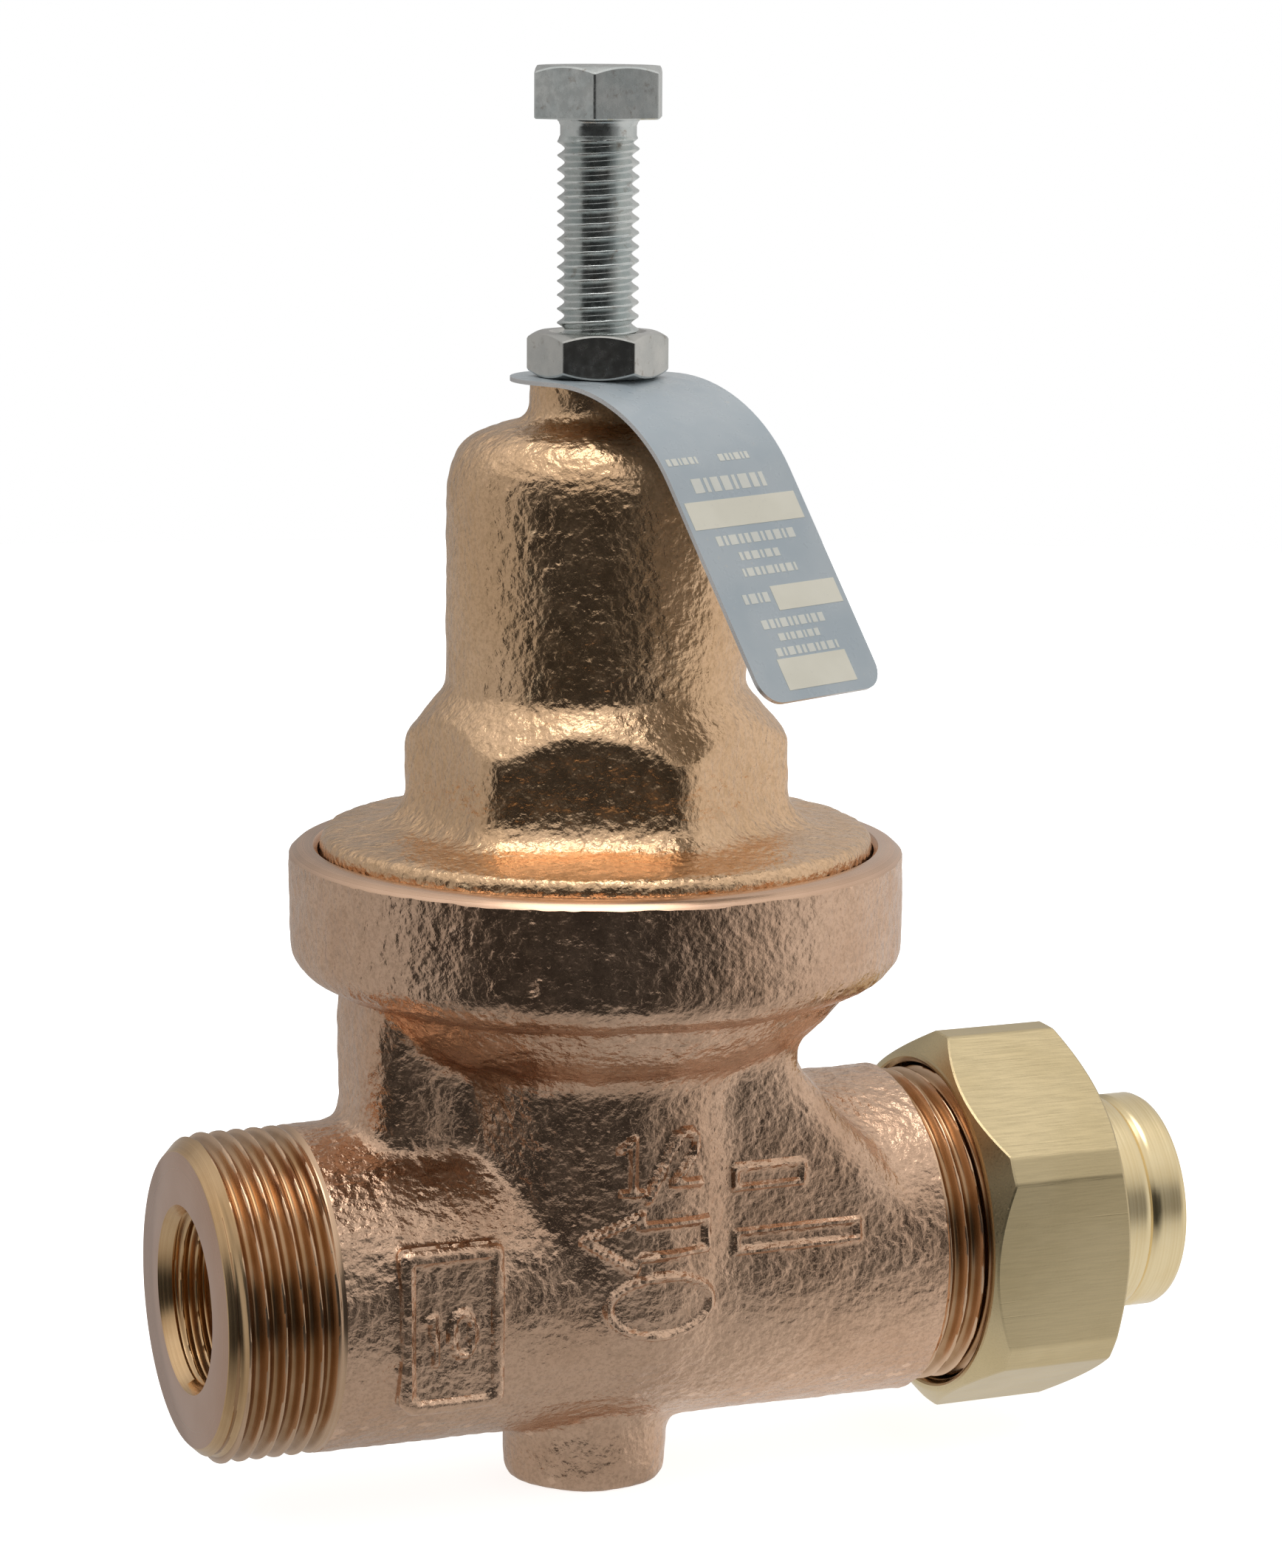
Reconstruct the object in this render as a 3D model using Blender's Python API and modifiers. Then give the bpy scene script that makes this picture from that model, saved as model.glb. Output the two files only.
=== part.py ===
"""Pressure reducing valve: a screwed-bonnet, direct-acting valve for half inch pipe.

Frame: the origin is where the pipe's axis meets the spindle's axis. +X is the inlet, which has
the union, -X is the outlet, -Y is the front and +Z points up the adjusting screw.
Every size below is in millimetres, and mm() turns it into metres.
"""
import math

import bmesh
import bpy
from mathutils import Matrix, Vector

# ---------------------------------------------------------------- driving dimensions (mm)
GAP = 0.3                       # room left between pieces that touch

# pipe run, along X
FACE_X = 50.7                   # both ends of the casting
UNION_THREAD_R = 19.05          # 1-1/2 inch, 12 threads an inch
UNION_THREAD_START = 37.0
PIPE_R_OUTLET = 19.1
PIPE_R_INLET = 19.9
PIPE_TAPER_MOUTH_R = 10.9       # half inch taper pipe thread
PIPE_TAPER_END_R = 9.7
PIPE_TAPER_DEPTH = 15.0
PASSAGE_R = 8.0

# ring flange and diaphragm chamber, about Z
RING_R = 36.0
RING_TOP = 50.3
BONNET_BORE_R = 32.6
LEDGE_Z = 37.0
CHAMBER_R = 26.0
CHAMBER_FLOOR = 31.5

# column, bridge and lower chamber, about Z
COLUMN_R = 21.0
COLUMN_BORE_R = 15.0
BRIDGE_TOP = 18.0
BRIDGE_UNDER = 12.0
BRIDGE_HOLE_R = 12.3
LOWER_BORE_R = 12.2             # the chamber narrows low down, to leave wall round the pipe
LOWER_STEP_Z = -7.0
LOWER_FLOOR = -11.8

# bottom boss
BOSS_X = -1.2
BOSS_R = 9.75
BOSS_BOTTOM = -26.3
GUIDE_BORE_R = 7.2
GUIDE_BORE_FLOOR = -22.6

# outlet duct on the left and gusset on the right
DUCT_LEFT = -30.3
DUCT_HALF_WIDTH = 9.0
DUCT_CORNER = 4.0
GUSSET_HALF_WIDTH = 19.0

# bonnet, about Z
BONNET_RIM_R = 32.3
BONNET_RIM_BOTTOM = 40.2
BONNET_HEX_FLATS = 40.0
BONNET_HEX_Z = (51.0, 64.0)
BONNET_HEX_CORNER_R = 22.4
BONNET_HEX_TURN = -23.7         # degrees, way that the front flat faces
SPRING_CAVITY_R = 14.6
NECK_R = 7.9
NECK_TOP = 104.0

# adjusting screw, 3/8 inch, 16 threads an inch
SCREW_R = 4.7
SCREW_HOLE_R = 5.0
SCREW_HEAD_FLATS = 14.2
SCREW_HEAD_BOTTOM = 134.3
SCREW_HEAD_TOP = 140.3
SCREW_TIP = 83.5
SCREW_HEAD_TURN = 5.3
NUT_FLATS = 14.2
NUT_BOTTOM = 105.2
NUT_TOP = 110.1
NUT_TURN = -20.5
CORNER_CHAMFER = 0.75

# rating tag
TAG_THICK = 0.5
TAG_UNDER = 104.4
TAG_WIDTH = 20.2
TAG_HEADING = -65.2             # degrees from +X, seen from above
TAG_FLAT = 3.0
TAG_BEND_R = 20.4
TAG_BEND = 58.0                 # degrees
TAG_TAIL = 27.6
TAG_CORNER = 3.0

# inlet union
NUT_CORNER_R = 23.6
NUT_CORNER_TURN = 91.8          # degrees from +Y about the pipe to the first corner
NUT_CORNER_FLAT = 4.2           # half the angle that each corner's narrow flat spans
NUT_MOUTH_R = 20.8
NUT_BACK_R = 20.6
NUT_MOUTH_X = 42.8
NUT_BACK_X = 61.0
NUT_THREAD_R = 19.45
NUT_LIP_X = 57.2
TAIL_R = 13.25
TAIL_END_X = 73.2
TAIL_GROOVE_X = 68.4
TAIL_GROOVE_DEPTH = 0.35
TAIL_COLLAR_R = 17.2
TAIL_COLLAR_X = (52.9, 56.8)
GASKET_X = (51.0, 52.6)

# working parts inside
STEM_R = 3.0
SEAT_LIP_Z = 12.9
SEAT_ORIFICE_R = 7.0
DISC_R = 8.3
DISC_TOP = 10.7                 # 2.2 under the lip, so the valve stands open
PISTON_R = 5.9
DIAPHRAGM_Z = (37.3, 38.8)
PLATE_Z = (39.1, 41.4)
STEM_NUT_FLATS = 11.0
STEM_NUT_Z = (41.7, 46.0)
SCREEN_Z = (-9.4, 11.7)
SPRING_WIRE = 3.2
SPRING_MEAN_R = 10.6
SPRING_COILS = 6.5
SPRING_Z = (41.7, 78.2)
BUTTON_Z = (78.5, 83.2)

STEPS_LARGE = 40                # facets round the castings
STEPS_SMALL = 24                # facets round bores and screws
STEPS_INNER = 20                # facets round the working parts inside


def mm(value):
    """Millimetres to metres."""
    return value * 0.001


# ---------------------------------------------------------------- scene helpers
def clear_scene():
    for old in list(bpy.data.objects):
        bpy.data.objects.remove(old, do_unlink=True)
    for old in list(bpy.data.collections):
        bpy.data.collections.remove(old)


def new_collection(name):
    made = bpy.data.collections.new(name)
    bpy.context.scene.collection.children.link(made)
    return made


def finish_for(name, colour, roughness, metallic):
    made = bpy.data.materials.new(name)
    made.use_nodes = True
    shader = made.node_tree.nodes["Principled BSDF"]
    shader.inputs["Base Color"].default_value = (*colour, 1.0)
    shader.inputs["Roughness"].default_value = roughness
    shader.inputs["Metallic"].default_value = metallic
    return made


def place(mesh, name, collection, material=None):
    made = bpy.data.objects.new(name, mesh)
    collection.objects.link(made)
    if material is not None:
        mesh.materials.append(material)
    return made


def outline_mesh(name, points, closed):
    """Edges through (radius, height) points in the XZ plane."""
    mesh = bpy.data.meshes.new(name)
    corners = [(mm(r), 0.0, mm(z)) for r, z in points]
    edges = [(i, i + 1) for i in range(len(corners) - 1)]
    if closed:
        edges.append((len(corners) - 1, 0))
    mesh.from_pydata(corners, edges, [])
    return mesh


def turned(name, points, collection, material=None, steps=STEPS_LARGE, closed=False, along_x=False):
    """A turned piece. Its outline is (radius, height) points, down the outer side first.

    A closed outline makes a ring. along_x lays the piece down, so that height runs along +X.
    """
    made = place(outline_mesh(name, points, closed), name, collection, material)
    screw = made.modifiers.new("turn", "SCREW")
    screw.steps = steps
    screw.render_steps = steps
    screw.use_merge_vertices = True
    screw.merge_threshold = 0.00001
    screw.use_smooth_shade = True
    if along_x:
        made.rotation_euler = (0.0, math.pi / 2, 0.0)
    return made


def prism(name, outline, low, high, collection, material=None, plane="XY"):
    """A closed prism on an outline, from low to high along the plane's normal."""
    work = bmesh.new()
    places = {
        "XY": lambda u, v, w: (mm(u), mm(v), mm(w)),
        "XZ": lambda u, v, w: (mm(u), mm(w), mm(v)),
        "YZ": lambda u, v, w: (mm(w), mm(u), mm(v)),
    }
    ring = [work.verts.new(places[plane](u, v, low)) for u, v in outline]
    face = work.faces.new(ring)
    swept = bmesh.ops.extrude_face_region(work, geom=[face])
    shift = Vector(places[plane](0, 0, high)) - Vector(places[plane](0, 0, low))
    moved = [item for item in swept["geom"] if isinstance(item, bmesh.types.BMVert)]
    bmesh.ops.translate(work, verts=moved, vec=shift)
    bmesh.ops.recalc_face_normals(work, faces=work.faces)
    mesh = bpy.data.meshes.new(name)
    work.to_mesh(mesh)
    work.free()
    return place(mesh, name, collection, material)


def block(name, low, high, collection):
    outline = [(low[0], low[1]), (high[0], low[1]), (high[0], high[1]), (low[0], high[1])]
    return prism(name, outline, low[2], high[2], collection)


def hexagon(flats, turn):
    """Corners of a hexagon with one flat facing the way -Y is turned by turn degrees."""
    corner = flats / 2 / math.cos(math.radians(30))
    angles = [math.radians(-90 + turn + 30 + 60 * i) for i in range(6)]
    return [(corner * math.cos(a), corner * math.sin(a)) for a in angles]


def combine(target, other, how):
    joint = target.modifiers.new(how.lower() + "_" + other.name, "BOOLEAN")
    joint.operation = how
    joint.object = other
    joint.solver = "EXACT"


def as_cutter(made):
    made.hide_render = True
    made.display_type = "WIRE"
    return made


def disc_outline(radius, top, bottom, chamfer=0.0):
    """Outline of a solid disc, from the top centre down to the bottom centre."""
    if chamfer == 0.0:
        return [(0, top), (radius, top), (radius, bottom), (0, bottom)]
    return [
        (0, top), (radius - chamfer, top), (radius, top - chamfer),
        (radius, bottom + chamfer), (radius - chamfer, bottom), (0, bottom),
    ]


def ring_outline(outer, inner, top, bottom):
    return [(outer, top), (outer, bottom), (inner, bottom), (inner, top)]


def o_ring(name, mid_r, wire_r, height, material):
    """A rubber ring of round section about Z."""
    sides = 6
    outline = []
    for i in range(sides):
        angle = math.pi / 2 - 2 * math.pi * i / sides
        outline.append((mid_r + wire_r * math.cos(angle), height + wire_r * math.sin(angle)))
    return turned(name, outline, PARTS, material, steps=STEPS_INNER, closed=True)


# ---------------------------------------------------------------- body casting
def body_shell():
    """Ring, collar and column as one turned form, joined to the pipe, duct, gusset and boss."""
    outline = [
        (0, RING_TOP), (35.4, RING_TOP), (RING_R, RING_TOP - 0.8), (RING_R, 38.3),
        (35.2, 36.5), (32.6, 33.9), (30.6, 32.9), (29.7, 31.8), (28.3, 29.4),
        (26.1, 27.6), (24.4, 26.0), (COLUMN_R + 0.6, 24.6), (COLUMN_R, 23.0),
        (COLUMN_R, -3.0), (19.0, -8.0), (15.0, -13.0), (0, -13.0),
    ]
    return turned("valve_body", outline, PARTS, BRONZE)


def pipe_run():
    """The run along X, with a plain band where each union thread is cut."""
    chamfer = 1.6
    outline = [
        (0, FACE_X), (UNION_THREAD_R - chamfer, FACE_X), (UNION_THREAD_R, FACE_X - chamfer),
        (UNION_THREAD_R, UNION_THREAD_START + 1.0), (PIPE_R_INLET, UNION_THREAD_START),
        (PIPE_R_OUTLET, -UNION_THREAD_START), (UNION_THREAD_R, -UNION_THREAD_START - 1.0),
        (UNION_THREAD_R, -FACE_X + chamfer), (UNION_THREAD_R - chamfer, -FACE_X), (0, -FACE_X),
    ]
    return as_cutter(turned("pipe_run", outline, CUTTERS, along_x=True))


def outlet_duct_form():
    c = DUCT_CORNER
    w = DUCT_HALF_WIDTH
    x = DUCT_LEFT
    outline = [(-8, -w), (-8, w), (x + c, w), (x + c * 0.3, w - c * 0.3), (x, w - c),
               (x, -w + c), (x + c * 0.3, -w + c * 0.3), (x + c, -w)]
    return as_cutter(prism("outlet_duct_form", outline, 0.5, 33.2, CUTTERS))


def gusset_form():
    outline = [(2, 28.8), (18.9, 28.8), (19.5, 25.5), (26.5, 17.5), (33.5, 10.5), (36.0, 7.0), (36.0, -4.0), (2, -4.0)]
    w = GUSSET_HALF_WIDTH
    return as_cutter(prism("gusset_form", outline, -w, w, CUTTERS, plane="XZ"))


def boss_form():
    outline = disc_outline(BOSS_R, -9.0, BOSS_BOTTOM, chamfer=1.4)
    made = as_cutter(turned("boss_form", outline, CUTTERS, steps=STEPS_SMALL))
    made.location.x = mm(BOSS_X)
    return made


def body_hollows():
    """Everything that is machined or cored out of the casting, in the order it is cut."""
    taper = FACE_X - PIPE_TAPER_DEPTH
    outlet = [
        (0, -18.4), (PASSAGE_R, -18.4), (PASSAGE_R, -taper), (PIPE_TAPER_END_R, -taper),
        (PIPE_TAPER_MOUTH_R, -FACE_X), (PIPE_TAPER_MOUTH_R + 0.1, -FACE_X - 2), (0, -FACE_X - 2),
    ]
    yield as_cutter(turned("bonnet_bore", disc_outline(BONNET_BORE_R, RING_TOP + 2, LEDGE_Z), CUTTERS))
    yield as_cutter(turned("chamber", disc_outline(CHAMBER_R, LEDGE_Z + 0.5, CHAMBER_FLOOR), CUTTERS))
    yield as_cutter(turned("column_bore", disc_outline(COLUMN_BORE_R, CHAMBER_FLOOR + 0.5, BRIDGE_TOP),
                           CUTTERS, steps=STEPS_SMALL))
    yield as_cutter(turned("bridge_hole", disc_outline(BRIDGE_HOLE_R, BRIDGE_TOP + 0.5, BRIDGE_UNDER - 0.5),
                           CUTTERS, steps=STEPS_SMALL))
    lower = [
        (0, BRIDGE_UNDER), (COLUMN_BORE_R, BRIDGE_UNDER), (COLUMN_BORE_R, LOWER_STEP_Z),
        (LOWER_BORE_R, LOWER_STEP_Z), (LOWER_BORE_R, LOWER_FLOOR), (0, LOWER_FLOOR),
    ]
    yield as_cutter(turned("lower_chamber", lower, CUTTERS, steps=STEPS_SMALL))
    yield as_cutter(turned("guide_bore", disc_outline(GUIDE_BORE_R, LOWER_FLOOR + 0.5, GUIDE_BORE_FLOOR),
                           CUTTERS, steps=STEPS_SMALL))
    yield as_cutter(turned("outlet_bore", outlet, CUTTERS, steps=STEPS_SMALL, along_x=True))
    yield as_cutter(block("outlet_rise", (-25.2, -6.0, -5.0), (-18.6, 6.0, CHAMBER_FLOOR + 0.5), CUTTERS))
    yield as_cutter(turned("inlet_bore", disc_outline(9.5, FACE_X + 2, 12.0),
                           CUTTERS, steps=STEPS_SMALL, along_x=True))


def make_valve_body():
    body = body_shell()
    for form in (pipe_run(), outlet_duct_form(), gusset_form(), boss_form()):
        combine(body, form, "UNION")
    for hollow in body_hollows():
        combine(body, hollow, "DIFFERENCE")


# ---------------------------------------------------------------- bonnet
def make_bonnet():
    """Turned outside with a hexagon joined on, then the spring cavity and the screw hole cut out."""
    outside = [
        (0, NECK_TOP), (6.4, NECK_TOP), (NECK_R, 102.6), (NECK_R, 101.2), (8.6, 100.2), (10.1, 99.5),
        (12.0, 98.9), (13.9, 98.0), (15.5, 97.2), (16.8, 95.4), (17.4, 93.6), (17.45, 68.7),
        (19.1, 67.0), (21.0, 65.3), (21.6, 64.0), (21.6, 53.6), (23.5, 52.6), (27.0, 52.2),
        (31.4, 51.9), (BONNET_RIM_R, 50.9), (BONNET_RIM_R, BONNET_RIM_BOTTOM), (0, BONNET_RIM_BOTTOM),
    ]
    bonnet = turned("bonnet", outside, PARTS, BRONZE_WARM)
    low, high = BONNET_HEX_Z
    flats = prism("bonnet_hexagon", hexagon(BONNET_HEX_FLATS, BONNET_HEX_TURN), low, high, CUTTERS)
    rounding = turned("bonnet_hexagon_round", disc_outline(BONNET_HEX_CORNER_R, high + 2, low - 1), CUTTERS)
    combine(flats, as_cutter(rounding), "INTERSECT")
    combine(bonnet, as_cutter(flats), "UNION")
    cavity = [
        (0, 95.0), (8.0, 95.0), (12.5, 93.6), (SPRING_CAVITY_R, 90.8), (SPRING_CAVITY_R, 50.0),
        (22.0, 48.5), (27.5, 45.5), (27.5, BONNET_RIM_BOTTOM - 2), (0, BONNET_RIM_BOTTOM - 2),
    ]
    combine(bonnet, as_cutter(turned("spring_cavity", cavity, CUTTERS)), "DIFFERENCE")
    hole = disc_outline(SCREW_HOLE_R, NECK_TOP + 2, 94.0)
    combine(bonnet, as_cutter(turned("screw_hole", hole, CUTTERS, steps=STEPS_SMALL)), "DIFFERENCE")


# ---------------------------------------------------------------- adjusting parts
def hexagon_piece(name, flats, turn, low, high, material, low_chamfer):
    """A hexagon whose corners are turned off at a shallow angle, as on a nut or a screw head."""
    corner = flats / 2 / math.cos(math.radians(30)) + 0.2
    made = prism(name, hexagon(flats, turn), low, high, PARTS, material)
    outline = [(0, high + 1), (flats / 2, high + 1), (flats / 2, high), (corner, high - CORNER_CHAMFER)]
    if low_chamfer:
        outline += [(corner, low + CORNER_CHAMFER), (flats / 2, low), (flats / 2, low - 1)]
    else:
        outline += [(corner, low - 1)]
    outline += [(0, low - 1)]
    envelope = as_cutter(turned(name + "_envelope", outline, CUTTERS, steps=STEPS_SMALL))
    combine(made, envelope, "INTERSECT")
    return made


def make_adjusting_screw():
    made = hexagon_piece("adjusting_screw", SCREW_HEAD_FLATS, SCREW_HEAD_TURN,
                         SCREW_HEAD_BOTTOM, SCREW_HEAD_TOP, ZINC, low_chamfer=False)
    shank = [
        (0, SCREW_HEAD_BOTTOM + 1), (SCREW_R, SCREW_HEAD_BOTTOM + 1), (SCREW_R, SCREW_TIP + 1.2),
        (SCREW_R - 1.4, SCREW_TIP), (0, SCREW_TIP),
    ]
    combine(made, as_cutter(turned("screw_shank", shank, CUTTERS, steps=STEPS_SMALL)), "UNION")


def make_lock_nut():
    made = hexagon_piece("lock_nut", NUT_FLATS, NUT_TURN, NUT_BOTTOM, NUT_TOP, ZINC_NUT, low_chamfer=True)
    hole = disc_outline(SCREW_HOLE_R, NUT_TOP + 2, NUT_BOTTOM - 2)
    combine(made, as_cutter(turned("nut_hole", hole, CUTTERS, steps=STEPS_SMALL)), "DIFFERENCE")


def tag_half_width(along):
    """Half the tag's width at a distance along its centre line from the screw's axis."""
    half = TAG_WIDTH / 2
    end = TAG_FLAT + TAG_BEND_R * math.radians(TAG_BEND) + TAG_TAIL
    if along < 0:
        return math.sqrt(max(half * half - along * along, 0.09))
    if along > end - TAG_CORNER:
        into = along - (end - TAG_CORNER)
        return half - TAG_CORNER + math.sqrt(max(TAG_CORNER ** 2 - into ** 2, 0.0))
    return half


def tag_centre(along):
    """Distance out from the axis and drop below the flat, at a distance along the tag."""
    if along <= TAG_FLAT:
        return along, 0.0
    bent = min((along - TAG_FLAT) / TAG_BEND_R, math.radians(TAG_BEND))
    out = TAG_FLAT + TAG_BEND_R * math.sin(bent)
    drop = TAG_BEND_R * (1 - math.cos(bent))
    rest = along - TAG_FLAT - TAG_BEND_R * math.radians(TAG_BEND)
    if rest > 0:
        out += rest * math.cos(bent)
        drop += rest * math.sin(bent)
    return out, drop


def make_rating_tag():
    """A sheet laid out row by row along its length, thickened, then punched for the screw."""
    half = TAG_WIDTH / 2
    bend_end = TAG_FLAT + TAG_BEND_R * math.radians(TAG_BEND)
    end = bend_end + TAG_TAIL
    rows = [-half * math.cos(math.radians(9 + 81 * i / 7)) for i in range(8)]
    rows += [TAG_FLAT + (bend_end - TAG_FLAT) * i / 10 for i in range(11)]
    rows += [end - TAG_CORNER]
    rows += [end - TAG_CORNER + TAG_CORNER * math.sin(math.radians(90 * i / 5)) for i in range(1, 6)]
    work = bmesh.new()
    turn = Matrix.Rotation(math.radians(TAG_HEADING), 4, "Z")
    previous = None
    for along in rows:
        out, drop = tag_centre(along)
        width = tag_half_width(along)
        line = [work.verts.new(turn @ Vector((mm(out), mm(width * side), mm(-drop)))) for side in (-1, 0, 1)]
        if previous:
            for i in range(2):
                work.faces.new((previous[i], line[i], line[i + 1], previous[i + 1]))
        previous = line
    mesh = bpy.data.meshes.new("rating_tag")
    work.to_mesh(mesh)
    work.free()
    tag = place(mesh, "rating_tag", PARTS, TAG_PAINT)
    tag.location.z = mm(TAG_UNDER)
    thick = tag.modifiers.new("sheet", "SOLIDIFY")
    thick.thickness = mm(TAG_THICK)
    thick.offset = 1.0
    hole = disc_outline(SCREW_HOLE_R + 0.2, TAG_UNDER + 3, TAG_UNDER - 3)
    combine(tag, as_cutter(turned("tag_hole", hole, CUTTERS, steps=STEPS_SMALL)), "DIFFERENCE")


# ---------------------------------------------------------------- inlet union
def make_union_nut():
    """A hexagon whose corners are milled to narrow flats, coned at the mouth and eased at the back."""
    corner_flat = math.radians(NUT_CORNER_FLAT)
    outline = []
    for i in range(6):
        centre = math.radians(NUT_CORNER_TURN + 60 * i)
        for side in (-corner_flat, corner_flat):
            outline.append((NUT_CORNER_R * math.cos(centre + side), NUT_CORNER_R * math.sin(centre + side)))
    nut = prism("union_nut", outline, NUT_MOUTH_X, NUT_BACK_X, PARTS, NUT_BRASS, plane="YZ")
    cone = [
        (0, NUT_BACK_X + 1), (NUT_BACK_R, NUT_BACK_X + 1), (NUT_BACK_R, NUT_BACK_X),
        (NUT_CORNER_R + 0.2, NUT_BACK_X - 1.8), (NUT_CORNER_R + 0.2, NUT_MOUTH_X + 2.6),
        (NUT_MOUTH_R, NUT_MOUTH_X), (NUT_MOUTH_R, NUT_MOUTH_X - 1), (0, NUT_MOUTH_X - 1),
    ]
    combine(nut, as_cutter(turned("nut_cone", cone, CUTTERS, along_x=True)), "INTERSECT")
    hollow = [
        (0, NUT_BACK_X + 2), (TAIL_R + 0.4, NUT_BACK_X + 2), (TAIL_R + 0.4, NUT_LIP_X),
        (NUT_THREAD_R, NUT_LIP_X), (NUT_THREAD_R, NUT_MOUTH_X - 2), (0, NUT_MOUTH_X - 2),
    ]
    combine(nut, as_cutter(turned("nut_hollow", hollow, CUTTERS, along_x=True)), "DIFFERENCE")


def make_tailpiece():
    taper = TAIL_END_X - PIPE_TAPER_DEPTH
    groove = TAIL_GROOVE_X
    deep = TAIL_GROOVE_DEPTH
    outline = [
        (TAIL_R - 0.6, TAIL_END_X), (TAIL_R, TAIL_END_X - 0.6), (TAIL_R, groove + deep),
        (TAIL_R - deep, groove), (TAIL_R, groove - deep), (TAIL_R, TAIL_COLLAR_X[1]),
        (TAIL_COLLAR_R, TAIL_COLLAR_X[1]), (TAIL_COLLAR_R, TAIL_COLLAR_X[0]),
        (PASSAGE_R, TAIL_COLLAR_X[0]), (PASSAGE_R, taper), (PIPE_TAPER_END_R, taper),
        (PIPE_TAPER_MOUTH_R, TAIL_END_X - 0.3), (PIPE_TAPER_MOUTH_R + 0.1, TAIL_END_X),
    ]
    turned("tailpiece", outline, PARTS, TAIL_BRASS, steps=STEPS_SMALL, closed=True, along_x=True)
    gasket = ring_outline(16.5, 9.6, GASKET_X[1], GASKET_X[0])
    turned("union_gasket", gasket, PARTS, RUBBER, steps=STEPS_SMALL, closed=True, along_x=True)


# ---------------------------------------------------------------- diaphragm, spring and valve parts
def make_spring_button():
    outline = [
        (0, BUTTON_Z[1]), (6.0, BUTTON_Z[1]), (6.0, BUTTON_Z[0] + 2.2), (12.8, BUTTON_Z[0] + 2.2),
        (12.8, BUTTON_Z[0]), (0, BUTTON_Z[0]),
    ]
    turned("spring_button", outline, PARTS, STEEL, steps=STEPS_INNER)


def make_range_spring():
    """A helix of round wire, flattened to the closed pitch over the first and last turn."""
    low = SPRING_Z[0] + SPRING_WIRE / 2
    high = SPRING_Z[1] - SPRING_WIRE / 2
    per_turn = 16
    closed_rise = SPRING_WIRE + 0.25
    open_coils = SPRING_COILS - 2
    open_rise = (high - low - 2 * closed_rise) / open_coils
    total = int(per_turn * SPRING_COILS)
    curve = bpy.data.curves.new("range_spring", "CURVE")
    curve.dimensions = "3D"
    curve.bevel_depth = mm(SPRING_WIRE / 2)
    curve.bevel_resolution = 2
    curve.use_fill_caps = True
    path = curve.splines.new("POLY")
    path.points.add(total)
    for i in range(total + 1):
        turns = i / per_turn
        if turns < 1:
            height = closed_rise * turns
        elif turns < 1 + open_coils:
            height = closed_rise + open_rise * (turns - 1)
        else:
            height = closed_rise * (turns - open_coils) + open_rise * open_coils
        angle = 2 * math.pi * turns
        x = mm(SPRING_MEAN_R * math.cos(angle))
        y = mm(SPRING_MEAN_R * math.sin(angle))
        path.points[i].co = (x, y, mm(low + height), 1.0)
    made = bpy.data.objects.new("range_spring", curve)
    PARTS.objects.link(made)
    curve.materials.append(SPRING_STEEL)


def make_diaphragm_stack():
    turned("diaphragm_plate", ring_outline(14.2, STEM_R + GAP, PLATE_Z[1], PLATE_Z[0]),
           PARTS, STEEL, steps=STEPS_INNER, closed=True)
    turned("diaphragm", ring_outline(32.2, STEM_R + GAP, DIAPHRAGM_Z[1], DIAPHRAGM_Z[0]),
           PARTS, DIAPHRAGM_RUBBER, closed=True)
    turned("slip_ring", ring_outline(32.2, 27.8, 39.9, 39.1), PARTS, STEEL, closed=True)
    turned("diaphragm_washer", ring_outline(13.0, STEM_R + GAP, 37.0, 34.6), PARTS, BRASS,
           steps=STEPS_INNER, closed=True)
    low, high = STEM_NUT_Z
    nut = prism("diaphragm_nut", hexagon(STEM_NUT_FLATS, 0.0), low, high, PARTS, BRASS)
    hole = disc_outline(STEM_R + GAP, high + 1, low - 1)
    combine(nut, as_cutter(turned("diaphragm_nut_hole", hole, CUTTERS, steps=STEPS_INNER)), "DIFFERENCE")


def make_stem():
    """Rod with a shoulder under the diaphragm, and a small flange that clamps the seat disc."""
    outline = [
        (0, 47.5), (STEM_R - 0.5, 47.5), (STEM_R, 47.0), (STEM_R, 34.3), (5.5, 34.3), (5.5, 32.3),
        (STEM_R, 31.0), (STEM_R, 13.4), (5.0, 12.4), (5.0, 11.0), (STEM_R - 0.6, 11.0),
        (STEM_R - 0.6, 4.0), (0, 4.0),
    ]
    turned("stem", outline, PARTS, STEEL_BRIGHT, steps=STEPS_INNER)


def make_disc_and_piston():
    turned("seat_disc", ring_outline(DISC_R, 3.2, DISC_TOP, 8.3), PARTS, RUBBER,
           steps=STEPS_INNER, closed=True)
    holder = [
        (9.0, 10.2), (9.0, 5.0), (PISTON_R, 4.0), (PISTON_R, -16.0), (4.6, -16.0), (4.6, -18.4),
        (PISTON_R, -18.4), (PISTON_R, -20.0), (2.0, -20.0), (2.0, 3.0), (2.7, 3.5), (2.7, 8.0),
        (8.6, 8.0), (8.6, 10.2),
    ]
    turned("disc_holder", holder, PARTS, BRASS, steps=STEPS_INNER, closed=True)
    o_ring("piston_o_ring", 5.35, 0.65, -17.2, RUBBER)


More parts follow.
